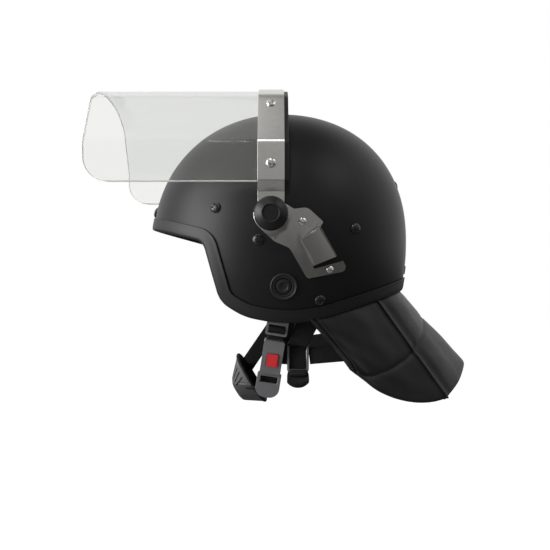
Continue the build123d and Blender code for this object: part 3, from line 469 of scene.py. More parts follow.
class Tree:
    """A node tree: node() is the one way in which nodes are added."""

    def __init__(self, owner):
        owner.use_nodes = True
        self.owner, self.tree = owner, owner.node_tree
        self.tree.nodes.clear()

    def node(self, kind, settings=None, *values, out=0, **named):
        made = self.tree.nodes.new(kind)
        for key, setting in (settings or {}).items():
            setattr(made, key, setting)
        inputs = list(zip(made.inputs, values))
        inputs += [(made.inputs[key.replace("_", " ")], value) for key, value in named.items()]
        for socket, value in inputs:
            if isinstance(value, Number):
                self.tree.links.new(value.socket, socket)
            elif value is not None:
                if hasattr(value, "__len__") and len(value) == 3 and len(socket.default_value) == 4:
                    value = (*value, 1.0)
                socket.default_value = value
        return Number(self, made.outputs[out]) if made.outputs else None

    def mix(self, factor, a, b):
        """A colour mix of a and b."""
        made = self.node("ShaderNodeMix", {"data_type": "RGBA"}, factor, out=2)
        inputs = made.socket.node.inputs
        for socket, value in ((inputs[6], a), (inputs[7], b)):
            if isinstance(value, Number):
                self.tree.links.new(value.socket, socket)
            else:
                socket.default_value = (*value, 1.0) if len(value) == 3 else value
        return made

    def place(self):
        """The piece's own coordinates, in metres."""
        return self.node("ShaderNodeTexCoord", out=3)

    def noise(self, size, detail=3.0, rough=0.55, stretch=None):
        """Noise whose lumps are about a size across, stretched along an axis if asked."""
        place = self.place()
        if stretch:
            place = self.node("ShaderNodeVectorMath", {"operation": "MULTIPLY"}, place, stretch)
        return self.node("ShaderNodeTexNoise", None, place, Scale=1 / size, Detail=detail, Roughness=rough)

    def cells(self, size, feature="DISTANCE_TO_EDGE"):
        """Distances in a pattern of cells about a size across."""
        return self.node("ShaderNodeTexVoronoi", {"feature": feature}, self.place(), Scale=1 / size)

    def part(self, vector, axis):
        """One of the three numbers of a vector."""
        return self.node("ShaderNodeSeparateXYZ", None, vector, out="XYZ".index(axis))

    def bump(self, height, distance, strength=1.0, normal=None):
        """A normal from a height between 0 and 1 that stands for a distance."""
        return self.node(
            "ShaderNodeBump", None, Strength=strength, Distance=distance, Height=height, Normal=normal,
        )

    def surface(self, shader):
        """Gives the material its shader and returns the material."""
        self.node("ShaderNodeOutputMaterial", None, shader)
        return self.owner

    def shade(self, colour, roughness, normal=None, **constants):
        """The material, with a Principled surface."""
        return self.surface(self.node(
            "ShaderNodeBsdfPrincipled", None, Base_Color=colour, Roughness=roughness, Normal=normal,
            **constants,
        ))


def start(name):
    """The tree of a new material of a name."""
    return Tree(bpy.data.materials.new(name))


def lighter(colour, times, more=0.0):
    """A colour times a factor, plus a little, and not above white."""
    return tuple(min(c * times + more, 1.0) for c in colour)


def moulded(name, colour, roughness=0.42, grain=0.6 * MM, depth=0.03 * MM, haze=0.35, **constants):
    """Moulded plastic, rubber or paint: fine orange-peel grain, faint handling haze and dust."""
    tree = start(name)
    grains = tree.noise(grain, 2.0)
    haze_map = tree.noise(38 * MM, 4.0, 0.62)
    specks = tree.noise(1.7 * MM, 2.0).ramp(0.68, 0.78)
    dust = (specks * 0.25 + haze_map.ramp(0.42, 0.75) * haze) * 0.5
    tint = tree.mix(dust, colour, lighter(colour, 2.2, 0.002))
    rough = haze_map * (0.16 * haze) + (roughness - 0.05 * haze) + specks * 0.05
    return tree.shade(tint, rough, tree.bump(grains, depth, 0.6), **constants)


def metal(name, colour, roughness, brush=(1, 0.04, 1), depth=0.004 * MM, stain=0.12, metallic=1.0):
    """Worked steel: hair-fine brush lines along one axis over soft stains."""
    tree = start(name)
    lines = tree.noise(0.35 * MM, 3.0, 0.7, stretch=brush)
    stains = tree.noise(14 * MM, 4.0, 0.6)
    tint = tree.mix(stains.ramp(0.35, 0.75) * stain, colour, lighter(colour, 0.62))
    tint = tree.mix(lines.ramp(0.35, 0.7) * 0.22, tint, lighter(colour, 1.35))
    rough = roughness + (lines - 0.5) * 0.12 + stains * 0.05
    return tree.shade(tint, rough, tree.bump(lines, depth, 0.5), Metallic=metallic)


def woven(name, colour, pitch=1.5 * MM, depth=0.18 * MM):
    """Webbing: slanted ribs along the strap, broken by the weft, from the woven attribute."""
    tree = start(name)
    weave = tree.node("ShaderNodeAttribute", {"attribute_name": "weave"}, out=1)
    along, across = tree.part(weave, "X"), tree.part(weave, "Y")
    turn = 2 * math.pi / pitch
    zigzag = abs((across * (turn / 2)).sine())
    rib = (along * turn + zigzag * 1.5).sine() * 0.5 + 0.5
    weft = (across * (turn * 1.6)).sine() * 0.5 + 0.5
    height = rib * 0.65 + weft * 0.35
    lint = tree.noise(6 * MM, 4.0)
    tint = tree.mix(height * 0.55 + lint * 0.25, colour, lighter(colour, 2.3, 0.001))
    return tree.shade(tint, 0.72 + lint * 0.12, tree.bump(height, depth, 0.9), Specular_IOR_Level=0.3)


def cup_plastic(name, upper, lower):
    """The cup's two mouldings, grey above a level seam and darker below, with fine grain."""
    tree = start(name)
    level = tree.part(tree.place(), "Z").ramp(-175.2 * MM, -174.2 * MM)
    haze = tree.noise(16 * MM, 4.0, 0.6)
    tint = tree.mix(haze.ramp(0.4, 0.75) * 0.35, tree.mix(level, lower, upper), lighter(upper, 0.5))
    grain = tree.noise(0.7 * MM, 2.0)
    return tree.shade(tint, haze * 0.15 + 0.42, tree.bump(grain, 0.04 * MM, 0.6))


def knitted(name, colour, loop=0.9 * MM, depth=0.12 * MM):
    """Brushed pad cloth: small soft loops and a nap that changes in patches."""
    tree = start(name)
    loops = tree.cells(loop, "F1")
    nap = tree.noise(9 * MM, 5.0, 0.65)
    tint = tree.mix(loops * 0.5 + nap * 0.4, colour, lighter(colour, 2.6, 0.004))
    return tree.shade(tint, 0.85 + nap * 0.1, tree.bump(loops, depth, 0.8), Specular_IOR_Level=0.2)


def grained(name, colour, roughness=0.42, cell=1.3 * MM, depth=0.09 * MM, **constants):
    """Coated cloth with pressed leather grain, shallow creases and scuffed high places."""
    tree = start(name)
    cells = tree.cells(cell)
    creases = tree.noise(12 * MM, 5.0, 0.6, stretch=(1, 1, 0.45))
    grain = cells.ramp(0.0, 0.16)
    scuff = tree.noise(30 * MM, 5.0, 0.7).ramp(0.5, 0.78)
    tint = tree.mix(scuff * 0.4, colour, lighter(colour, 2.0, 0.003))
    rough = roughness + (1 - grain) * 0.12 + (creases - 0.5) * 0.16
    normal = tree.bump(creases, 0.9 * MM, 0.35, tree.bump(grain, depth, 0.6))
    return tree.shade(tint, rough, normal, **constants)


def foam(name, colour):
    """Dense bead foam: rounded beads with dark joints."""
    tree = start(name)
    joints = tree.cells(3.2 * MM).ramp(0.0, 0.12)
    tint = tree.mix(joints, lighter(colour, 0.55), colour)
    return tree.shade(tint, 0.8 + (1 - joints) * 0.1, tree.bump(joints, 0.25 * MM, 0.7))


def clear(name, tint, through, bend):
    """Clear sheet with faint wiping marks: through is the share of light that passes, bend its
    index. It is glass for the eye, and plain see-through for the lamps."""
    tree = start(name)
    marks = tree.noise(26 * MM, 5.0, 0.65, stretch=(1, 0.5, 1)).ramp(0.5, 0.8)
    colour = tree.mix(marks * 0.25, tint, lighter(tint, 0.97))
    glass = tree.node(
        "ShaderNodeBsdfPrincipled", None, Base_Color=colour, Roughness=0.0, IOR=bend,
        Transmission_Weight=through, Coat_Weight=0.5, Coat_Roughness=0.04,
    )
    lamp_light = tree.node("ShaderNodeBsdfTransparent", None, Color=tuple(c**0.5 for c in tint))
    is_lamp = tree.node("ShaderNodeLightPath", None, out=1)
    return tree.surface(tree.node("ShaderNodeMixShader", None, is_lamp, glass, lamp_light))


# For each slot: the name of the finish, its recipe, a colour of the scene and a factor, or a colour
# of its own, and the recipe's other values
EVEN = (1, 1, 1)
FINISHES = {
    "shell_black": ("Matt moulded shell", moulded, ("shell", 1), (0.42,), {"Specular_IOR_Level": 0.25}),
    "rubber_black": (
        "Black rubber", moulded, ("rubber", 1), (0.5, 0.9 * MM, 0.03 * MM, 0.5), {"Specular_IOR_Level": 0.4},
    ),
    "knob_black": (
        "Satin knob", moulded, ("shell", 1), (0.42, 0.5 * MM, 0.015 * MM, 0.2), {"Specular_IOR_Level": 0.35},
    ),
    "screw_black": ("Blacked screws", moulded, ("shell", 1), (0.3, 0.5 * MM, 0.02 * MM, 0.2), {}),
    "hardware_grey": ("Grey moulded buckle", moulded, ("hardware", 1), (0.36, 0.5 * MM, 0.02 * MM), {}),
    "button_red": ("Red button", moulded, ("button", 1), (0.3, 0.6 * MM, 0.01 * MM, 0.1), {}),
    "cup_grey": ("Moulded cup", cup_plastic, (0.09, 0.09, 0.093), ((0.032, 0.032, 0.034),), {}),
    "polished_steel": ("Polished pressed steel", metal, ("steel", 0.55), (0.22, EVEN), {"metallic": 0.9}),
    "brushed_band": ("Brushed steel band", metal, ("steel", 1), (0.27,), {}),
    "screw_steel": ("Plated screws", metal, ("steel", 1), (0.2, EVEN), {}),
    "insert_brass": ("Brass insert", metal, (0.62, 0.42, 0.16), (0.3, EVEN), {}),
    "webbing_black": ("Woven webbing", woven, ("webbing", 1), (), {}),
    "pad_black": ("Pad cloth", knitted, ("webbing", 1), (), {}),
    "leathercloth_black": (
        "Padded leathercloth", grained, ("leathercloth", 1), (0.4,), {"Specular_IOR_Level": 0.36},
    ),
    "foam_grey": ("Bead foam", foam, (0.035, 0.035, 0.037), (), {}),
    "visor_clear": ("Clear visor sheet", clear, ("visor", 1), (0.91, 1.001), {}),
    "visor_cut": ("Visor cut edge", clear, ("visor", 0.9), (0.6, 1.3), {}),
}


def finish(slot):
    """The finish of a slot, made the first time that it is asked for."""
    title, recipe, colour, values, constants = FINISHES[slot]
    if isinstance(colour[0], str):
        colour = tuple(c * colour[1] for c in getattr(colours(), colour[0]))
    return bpy.data.materials.get(title) or recipe(title, colour, *values, **constants)


def finish_node(slot, *names):
    """Gives CAD nodes that keep their shape the finish of a slot."""
    for name in names:
        for place in NODES[name].material_slots:
            place.material = finish(slot)


# Operators, one for each piece or group of like pieces


class HELMET_OT_shell(bpy.types.Operator):
    """Builds the moulded shell as one smooth dome down to its rim"""

    bl_idname = "helmet.shell"
    bl_label = "Shell"

    def execute(self, context):
        # Columns run from the crown to points of the rim: a point's height follows the sine of an
        # angle that falls evenly, and it lies on the dome's section there, in the rim point's
        # direction
        rim = both_sides(rim_curve(0.0, 0.0, 170))
        across, ahead, behind = dome_axes(rim[:, 2], 0.0)
        cosine = rim[:, 0] / across
        sine = (rim[:, 1] - DOME_Y) / np.where(rim[:, 1] < DOME_Y, ahead, behind)
        tall = np.where(rim[:, 2] > DOME_Z, TALL, DEEP)
        latitude = np.arcsin((rim[:, 2] - DOME_Z) / tall)
        t = np.linspace(0, 1, 90)[:, None]
        turn = math.pi / 2 + (latitude[None] - math.pi / 2) * t
        z = DOME_Z + np.where(turn > 0, TALL, DEEP) * np.sin(turn)
        across, ahead, behind = dome_axes(z, 0.0)
        x = across * cosine[None]
        y = DOME_Y + np.where(sine[None] < 0, ahead, behind) * sine[None]
        points = np.stack([x, y, z], axis=2)
        faces = grid_faces(*points.shape[:2], close_columns=True)
        thicken(put("Shell", points, faces, "shell_black", angle=60), sizes().shell_wall)
        return {"FINISHED"}


class HELMET_OT_trim(bpy.types.Operator):
    """Builds the rubber trim that straddles the rim, with a lip along its upper edge"""

    bl_idname = "helmet.trim"
    bl_label = "Edge Trim"

    def execute(self, context):
        # The section as (growth of the dome, distance past the rim line). Each of its corners draws
        # one ring round the rim
        profile = np.array([
            (0.15, -10.9), (0.9, -11.0), (1.7, -10.6), (1.95, -9.6), (1.75, -8.6), (1.9, -7.0),
            (2.15, -3.5), (2.2, -0.5), (1.9, 1.0), (0.8, 2.0), (-2.0, 2.2), (-4.8, 2.0), (-5.9, 0.8),
            (-6.2, -1.5), (-6.2, -8.0), (-5.9, -10.4), (-5.2, -11.0), (-4.15, -10.9), (-4.1, -5.0),
            (-4.1, 0.1), (-2.0, 0.1), (0.1, 0.1), (0.1, -5.0),
        ]) * MM
        rings = np.stack([both_sides(rim_curve(grow, drop, 200)) for grow, drop in profile])
        faces = grid_faces(*rings.shape[:2], close_rows=True, close_columns=True)
        put("Edge_Trim", rings, faces, "rubber_black", angle=50)
        return {"FINISHED"}


class HELMET_OT_visor(bpy.types.Operator):
    """Builds the clear visor as one sheet bent over the arch, with round lower corners"""

    bl_idname = "helmet.visor"
    bl_label = "Visor"

    def execute(self, context):
        # Every point of the arch's inner outline is drawn level from the back to the free end, and
        # near the lower edges the free end draws back on a quarter circle
        low, free_end, back, corner, gap = np.array((30.5, -180.5, 9.5, 25, 0.15)) * MM
        outline = evenly(arch_path(BAND + gap, low), count=260)
        rise = np.clip((outline[:, 1] - low) / corner, 0, 1)
        front = free_end + corner * (1 - np.sqrt(np.maximum(1 - (1 - rise) ** 2, 0)))
        outline, front = outline[:, None], front[:, None]
        t = np.r_[0, 0.004, np.linspace(0.02, 1, 40)][None]
        y = front + (back - front) * t
        points = np.stack(np.broadcast_arrays(outline[..., 0], y, outline[..., 1]), axis=2)
        faces = grid_faces(*points.shape[:2])
        put("Visor", points, faces, "visor_clear", "visor_frame", angle=50)
        rows, columns = points.shape[:2]
        row, column = faces[:, 0] // columns, faces[:, 0] % columns
        border = faces[(row == 0) | (row == rows - 2) | (column == 0)]
        edge = put("Visor_Edge", points, border, "visor_clear", "visor_frame", angle=50, look="visor_cut")
        thicken(edge, 3 * MM)
        return {"FINISHED"}


class HELMET_OT_arch(bpy.types.Operator):
    """Finishes the steel arch and its rubber seal"""

    bl_idname = "helmet.arch"
    bl_label = "Visor Arch"

    def execute(self, context):
        eased("Visor_Arch", "visor_band", "brushed_band", 0.35 * MM, "visor_frame")
        eased("Visor_Seal", "visor_seal", "rubber_black", 0.5 * MM, "visor_frame")
        return {"FINISHED"}


def dome_head(origin, normal, radius, high, shank, deep, recess):
    """A domed screw head and its shank: half an ellipse and a step, turned about the normal. The
    recess is sunk where a point lies near one of two lines that cross."""
    rings = 14
    r = np.linspace(0, 1, rings)
    profile = [(radius * k, high * math.sqrt(max(1 - (0.96 * k) ** 2, 0))) for k in r]
    profile += [(radius, 0.0), (shank, 0.0), (shank, -deep), (0.0, -deep)]
    points, faces = revolved(origin, normal, profile)
    first, second, axis = upright_frame(normal)
    flat = points[:rings] - origin
    a, b = np.abs(flat @ first), np.abs(flat @ second)
    inside = (np.minimum(a, b) < radius * 0.13) & (np.maximum(a, b) < radius * 0.55)
    points[:rings] -= inside[..., None] * recess * axis
    return points, faces


# The black shell screws on the wearer's left in side view, and the way out at brow and nape
SHELL_SCREW_SPOTS = np.array([(-54.5, 7.8), (-12.5, -24.4), (47.9, -83.5), (83.3, -12.6)]) * MM
BROW_OUT, NAPE_OUT = np.array([(0, -0.974, 0.224), (0, 0.974, 0.224)])
# The bracket's screws, so far along it and across it, and how far down from level it runs
BRACKET_SPOTS, BRACKET_TURN = np.array([(20.8, 22.8), (74.3, 22.6)]), math.radians(60)
# Heights of the visor's lower and upper screws above the pivots
VISOR_SCREW_LOW, VISOR_SCREW_HIGH = 48.5 * MM, 112 * MM
# Radius and height of a head, radius and depth of its shank, and depth of its recess
BLACK_SCREW = np.array((5.4, 2.6, 2.5, 6.9, 0.8)) * MM
BROW_SCREW = np.array((5.4, 2.6, 2.5, 8, 0.8)) * MM
BRACKET_SCREW = np.array((3.6, 1.7, 2, 8, 0.6)) * MM
VISOR_SCREW = np.array((4.7, 2.3, 2, 6, 0.9)) * MM


def screw_group(name, places, size, slot, body="helmet"):
    """Domed screws at some (origin, normal) places, as one piece that stands for a CAD group."""
    parts = [dome_head(origin, normal, *size) for origin, normal in places]
    put(name, *joined(parts), slot, body)


class HELMET_OT_screws(bpy.types.Operator):
    """Builds the shell's black screws, the plated visor and bracket screws and their washers"""

    bl_idname = "helmet.screws"
    bl_label = "Screws"

    def execute(self, context):
        black, plated = "screw_black", "screw_steel"
        off_shell, off_arch, washer, bracket_wall = 0.1 * MM, 0.05 * MM, 1.4 * MM, 1.9 * MM
        rear_z, brow_z = 40 * MM, 10 * MM
        places = [on_dome(y, z, off_shell, side) for side in (1, -1) for y, z in SHELL_SCREW_SPOTS]
        rear_y = DOME_Y + dome_axes(rear_z, 0.0)[2] + off_shell
        places.append((np.array((0, rear_y, rear_z)), NAPE_OUT))
        screw_group("Shell_Screws", places, BLACK_SCREW, black)
        brow = np.array((0, DOME_Y - dome_axes(brow_z, 0.0)[1], brow_z))
        screw_group("Brow_Bolt", [(brow + BROW_OUT * washer, BROW_OUT)], BROW_SCREW, black)
        cosine, sine = math.cos(BRACKET_TURN), math.sin(BRACKET_TURN)
        along, across = np.array((cosine, -sine)), np.array((sine, cosine))
        places = []
        for side in (1, -1):
            for run, cross in BRACKET_SPOTS:
                y, z = (run * along + cross * across) * MM
                origin, normal = on_dome(y, z, 0.0, side)
                places.append((origin + normal * bracket_wall, normal))
        screw_group("Bracket_Screws", places, BRACKET_SCREW, plated)
        # The lower visor screws stand on the arch's upright, the upper ones on its slanted part
        knee, shoulder = ARCH_CORNERS[3], ARCH_CORNERS[4]
        slant = (shoulder - knee) / np.linalg.norm(shoulder - knee)
        upper_x = np.interp(VISOR_SCREW_HIGH, (knee[1], shoulder[1]), (knee[0], shoulder[0]))
        out, lean = np.array((1.0, 0, 0)), np.array((slant[1], 0, -slant[0]))
        low = np.array((knee[0], 0, VISOR_SCREW_LOW)) + out * off_arch
        high = np.array((upper_x, 0, VISOR_SCREW_HIGH)) + lean * off_arch
        places = []
        for side in (1, -1):
            flip = np.array((side, 1, 1))
            places += [(low * flip, out * flip), (high * flip, lean * flip)]
        screw_group("Visor_Screws", places, VISOR_SCREW, plated, "visor_frame")
        finish_node(plated, "visor_nuts", "shell_nuts", "bracket_nuts")
        finish_node(black, "brow_washer", "rear_clip")
        return {"FINISHED"}


class HELMET_OT_bracket(bpy.types.Operator):
    """Finishes the pressed mask brackets and the washers and studs of the pivots"""

    bl_idname = "helmet.bracket"
    bl_label = "Brackets and Pivots"

    def execute(self, context):
        for name in ("left", "right"):
            eased(
                f"Bracket_{name}", f"side_bracket_{name}", "polished_steel", 0.5 * MM, angle=36, flat=1.5,
            )
        eased("Pivot_Washers", "pivot_washers", "polished_steel", 0.4 * MM)
        finish_node("screw_steel", "pivot_stud_left", "pivot_stud_right", "spring_washers")
        return {"FINISHED"}


class HELMET_OT_knobs(bpy.types.Operator):
    """Builds the clamp knobs: a ribbed side, a wide bevel and a sunk face"""

    bl_idname = "helmet.knobs"
    bl_label = "Clamp Knobs"

    def execute(self, context):
        # The section as (radius, height), turned about the pivot. A cosine wave round the side
        # draws its ribs in
        base, ribs, rib_share = 125.7 * MM, 32, 0.022
        profile = np.array([
            (0, 10.0), (7, 10.0), (7, 0), (15.6, 0), (16.3, 0.3), (16.5, 1.0), (16.5, 8.6), (16.35, 9.8),
            (15.6, 10.9), (14.2, 12.0), (12.2, 13.4), (10.2, 14.7), (9.2, 15.3), (8.6, 15.5), (8.1, 15.35),
            (7.8, 14.7), (7.5, 14.45), (4, 14.45), (0, 14.5),
        ]) * MM
        for side, name in ((1, "left"), (-1, "right")):
            origin = np.array((side * base, 0, 0))
            points, faces = revolved(origin, (side, 0, 0), profile, 96)
            spoke = points - origin
            around = np.arctan2(spoke[..., 2], spoke[..., 1])
            reach = np.hypot(spoke[..., 1], spoke[..., 2])
            depth = np.abs(spoke[..., 0])
            rib = (reach > 16 * MM) & (depth > 0.8 * MM) & (depth < 11.2 * MM)
            shrink = 1 - rib * rib_share * (0.5 + 0.5 * np.cos(around * ribs))
            points[..., 1:] *= shrink[..., None]
            put(f"Knob_{name}", points, faces, "knob_black", f"knob_{name}_turn", angle=30)
            finish_node("insert_brass", f"knob_insert_{name}")
        return {"FINISHED"}


# How far inside the shell's outer face the pads lie on the liner, and how thick they are
LINER_DEPTH, PAD_THICK = 17.6 * MM, 8.4 * MM


class HELMET_OT_liner(bpy.types.Operator):
    """Finishes the foam liner and builds the sewn comfort pads on it"""

    bl_idname = "helmet.liner"
    bl_label = "Liner and Pads"

    def pad(self, name, outline, lay):
        """A cushion that follows the liner: rings of the outline shrink to its middle, and the
        cloth swells by the root of the distance from its edge. lay() puts flat places on the dome."""
        t = np.linspace(1, 0, 16)[:, None, None]
        middle = outline.mean(axis=0)
        flat = middle + (outline[None] - middle) * t
        back = lay(flat, -LINER_DEPTH)
        swell = PAD_THICK * np.sqrt(np.clip(1 - t[..., 0] ** 4, 0, 1))
        front = lay(flat, -LINER_DEPTH - np.broadcast_to(swell, flat.shape[:2]))
        points = np.concatenate([back[::-1], front[1:]])
        faces = grid_faces(*points.shape[:2], close_columns=True)
        put(name, points, faces, "pad_black", angle=60)

    def execute(self, context):
        finish_node("foam_grey", "impact_liner")
        turn = np.linspace(0, 2 * math.pi, 72, endpoint=False)
        c, s = np.cos(turn), np.sin(turn)
        round_c, round_s = np.sign(c) * np.abs(c) ** 0.5, np.sign(s) * np.abs(s) ** 0.5
        for side, name in ((1, "left"), (-1, "right")):
            shape = np.stack([9 * MM + 48 * MM * round_c, -20 * MM + 41 * MM * round_s], axis=1)

            def lay(flat, grow, side=side):
                y, z = flat[..., 0], flat[..., 1]
                return np.stack([side * dome_x(y, z, grow), y, z], axis=-1)

            self.pad(f"Side_Pad_{name}", shape, lay)
        for name, low, high, front in (("Brow_Pad", 12, 48, True), ("Rear_Pad", -48, 10, False)):
            middle, half = (low + high) / 2 * MM, (high - low) / 2 * MM
            shape = np.stack([54 * MM * round_c, middle + (half - 0.5 * MM) * round_s], axis=1)

            def lay(flat, grow, front=front):
                x, z = flat[..., 0], flat[..., 1]
                across, ahead, behind = dome_axes(z, grow)
                reach = -ahead if front else behind
                y = DOME_Y + reach * np.sqrt(np.maximum(1 - (x / across) ** 2, 0))
                return np.stack([x, y, z], axis=-1)

            self.pad(name, shape, lay)
        shape = np.stack([54 * MM * c, DOME_Y + 54 * MM * s], axis=1)

        def lay(flat, grow):
            """The height of the dome over (x, y), found by halving the span in which it lies."""
            x, y = flat[..., 0], flat[..., 1]
            low, high = np.full(x.shape, DOME_Z), np.full(x.shape, DOME_Z + TALL) + grow
            for _ in range(30):
                z = (low + high) / 2
                across, ahead, behind = np.maximum(dome_axes(z, grow), 1e-6)
                along = np.where(y < DOME_Y, ahead, behind)
                outside = (x / across) ** 2 + ((y - DOME_Y) / along) ** 2 > 1
                low, high = np.where(outside, low, z), np.where(outside, z, high)
            return np.stack([x, y, low], axis=-1)

        self.pad("Crown_Pad", shape, lay)
        return {"FINISHED"}


class HELMET_OT_grommets(bpy.types.Operator):
    """Builds the hearing grommets: two rounded rings and a slotted plug"""

    bl_idname = "helmet.grommets"
    bl_label = "Hearing Grommets"

    def execute(self, context):
        # Both sections as (radius, height), turned about the dome's normal
        spot_y, spot_z, count = 12.2 * MM, -69.6 * MM, 56
        ring = np.array([
            (8.0, -5.5), (8.0, 0.4), (8.5, 1.1), (9.6, 1.35), (10.6, 1.2), (11.2, 1.5), (12.2, 2.0),
            (13.0, 1.6), (13.45, 0.7), (13.5, 0.15), (9.9, 0.1), (9.9, -5.5),
        ]) * MM
        plug = np.array([
            (0, 0.4), (3.2, 0.45), (3.9, 0.7), (4.4, 1.15), (6.4, 1.15), (7.2, 0.8), (7.5, 0.0),
            (7.5, -3.0), (0, -3.0),
        ]) * MM
        for side, name in ((1, "left"), (-1, "right")):
            origin, normal = on_dome(spot_y, spot_z, 0.0, side)
            points, faces = revolved(origin, normal, ring, count)
            faces = grid_faces(*points.shape[:2], close_rows=True, close_columns=True)
            put(f"Ear_Ring_{name}", points, faces, "rubber_black", nodes=[f"ear_grommet_{name}"])
            put(f"Ear_Plug_{name}", *revolved(origin, normal, plug, count), "rubber_black")
        return {"FINISHED"}


# The neck guard on the wearer's left: its places on the rim, and the free edge of its panels
GUARD_RIM_LEFT = np.array([(37, -98), (74, -92), (109, -82), (131.5, -74)]) * MM
GUARD_FREE_SIDE = np.array([
    (97, 82, -149.5), (92, 98, -165), (86, 115, -178), (78, 142.5, -187.5), (70, 169, -188),
    (66, 182, -185),
]) * MM
GUARD_FREE_REAR = np.array([(66, 182, -185), (36, 202, -168.5), (0, 214, -153.5)]) * MM
# How far inside the ruled sheets the unswollen outer face and the inner face lie
GUARD_OUTER, GUARD_INNER = 2.6 * MM, 5.6 * MM
# The cross seam's stitch line and soft valley: share of the seam's depth, and width
STITCH, VALLEY = (0.6, 1.8 * MM), (0.5, 13 * MM)
# How far a bound end, the free edge and the rim are felt, as shares of the panel
END_REACH_SHARE, HEM_REACH_SHARE, RIM_REACH_SHARE = 0.035, 0.012, 0.05


def guard_rim():
    """The guard's row on the rim of the dome, from the left front to the right front."""
    y, z = GUARD_RIM_LEFT.T
    left = np.stack([dome_x(y, z), y, z - 2.8 * MM], axis=1)
    middle = np.array([(0, 141, -74.8)]) * MM
    return np.concatenate([left, middle, (left * (-1, 1, 1))[::-1]])


class HELMET_OT_guard(bpy.types.Operator):
    """Builds the padded neck guard: three sewn panels, bound edges and the strip inside the rim"""

    bl_idname = "helmet.guard"
    bl_label = "Neck Guard"

    def panel(self, name, rim, free, count, shares, bound):
        """A quilted panel: a ruled sheet from rim to free edge, swollen in each of its two fields
        and drawn in along the cross seam, whose share of the way down changes along the panel.
        Its ends are drawn in by the two shares in bound."""
        size = sizes()
        top, foot = spline(rim, count), spline(free, count)
        v = np.linspace(0, 1, 90)
        sheet = top[:, None] + (foot - top)[:, None] * v[None, :, None]
        along, down = np.gradient(sheet, axis=0), np.gradient(sheet, axis=1)
        normal = np.cross(down, along)
        normal /= np.linalg.norm(normal, axis=2)[..., None]
        u = np.linspace(0, 1, count)[:, None]
        seam = np.interp(u, np.linspace(0, 1, len(shares)), shares)
        off = np.abs((v[None] - seam) * np.linalg.norm(foot - top, axis=1)[:, None])
        furrow = STITCH[0] * np.exp(-off / STITCH[1]) + VALLEY[0] * np.exp(-off / VALLEY[1])
        ends = np.where(u < 0.5, bound[0], bound[1])
        near = np.minimum(u, 1 - u)
        pull = np.exp(-near / END_REACH_SHARE) + np.exp(-((near - 0.05) / END_REACH_SHARE) ** 2)
        hem = 1 - 0.5 * np.exp(-(1 - v[None]) / HEM_REACH_SHARE)
        hem = hem - 0.4 * np.exp(-v[None] / RIM_REACH_SHARE)
        ripple = np.sin(u * 7 + v[None] * 4 + 0.6) * np.sin(v[None] * 6 - u * 5 + 1.3) * 0.6 * MM
        ripple += np.sin(u * 19 - v[None] * 11) * np.sin(v[None] * 9 + u * 6) * 0.25 * MM
        swell = (size.swell + ripple) * hem * (1 - ends * pull) - size.seam_sink * furrow
        outer = sheet + normal * (swell - GUARD_OUTER)[..., None]
        inner = sheet - normal * GUARD_INNER
        ring = np.concatenate([outer, inner[:, ::-1]], axis=1)
        rows, columns = ring.shape[:2]
        faces = grid_faces(rows, columns, close_columns=True).tolist()
        j = np.arange(columns // 2 - 1)
        for first in (0, (rows - 1) * columns):
            quads = [first + k for k in (j, j + 1, columns - 2 - j, columns - 1 - j)]
            faces += np.stack(quads, axis=1).tolist()
        put(name, ring, faces, "leathercloth_black", angle=60)
        return outer, normal

    def execute(self, context):
        rim, flip, rows = guard_rim(), (-1, 1, 1), 80
        seam, bound = (0.98, 0.86, 0.7, 0.6, 0.52), (0.3, 0.15)
        for name, turn in (("left", False), ("right", True)):
            edge = rim[6:] if turn else rim[:3]
            free = (GUARD_FREE_SIDE * flip)[::-1] if turn else GUARD_FREE_SIDE
            way = -1 if turn else 1
            outer, normal = self.panel(f"Neck_Guard_{name}", edge, free, rows, seam[::way], bound[::way])
            for kind, row, stand in (("Hem", 1, 0.9), ("Fold", 7, 0.7), ("Corner", rows - 1, 1.1)):
                row = rows - 1 - row if turn else row
                line = outer[row] + normal[row] * stand * MM
                points, faces, _ = swept(line, normal[row], round_section(sizes().piping))
                put(f"Guard_{kind}_{name}", points, faces, "leathercloth_black", angle=60)
        free = np.concatenate([GUARD_FREE_REAR, (GUARD_FREE_REAR * flip)[-2::-1]])
        self.panel("Neck_Guard_rear", rim[2:7], free, 150, (0.52, 0.35, 0.52), (0.9, 0.9))
        finish_node("webbing_black", "guard_strip")
        finish_node("screw_black", "guard_snaps")
        return {"FINISHED"}


# The chin strap hangs in a plane that leans forward; each leg also leans inwards
LEAN, TILT = math.radians(9.0), math.radians(13.5)
HANG_UP = np.array((0, math.sin(LEAN), math.cos(LEAN)))
HANG_ACROSS = np.array((0, math.cos(LEAN), -math.sin(LEAN)))
HANG_ORIGIN = np.array((0, 7, -104)) * MM
RING_X, RING_HIGH, WIRE = 89.5 * MM, 17 * MM, 2.4 * MM
RING_BAR = RING_HIGH / 2 - WIRE / 2
CUP, CUP_SEAM_Z = np.array((0, -22, -172)) * MM, -174.5 * MM
WEB_STEP = 0.6 * MM
# The eye of webbing round a bar, and the height and depth inside the shell of the anchors
EYE, ANCHOR_Z, ANCHOR_IN = 2.9 * MM, -83 * MM, -17.3 * MM
# How the webbing weaves through the slide: places down the leg and out of it
WEAVE = np.array([
    (-4.5, -2.4), (5.8, -2.4), (7.0, 2.1), (11.2, 2.1), (12.4, -2.4), (16.4, -2.4), (20.4, 0),
]) * MM


def leg_points(flat, side=1):
    """Places in one leg of the chin strap from rows of (along, out)."""
    down = np.array((-side * math.sin(TILT), 0, 0)) - HANG_UP * math.cos(TILT)
    outward = np.array((side * math.cos(TILT), 0, 0)) - HANG_UP * math.sin(TILT)
    origin = HANG_ORIGIN + np.array((side * RING_X, 0, 0))
    return origin + flat[:, :1] * down + flat[:, 1:] * outward


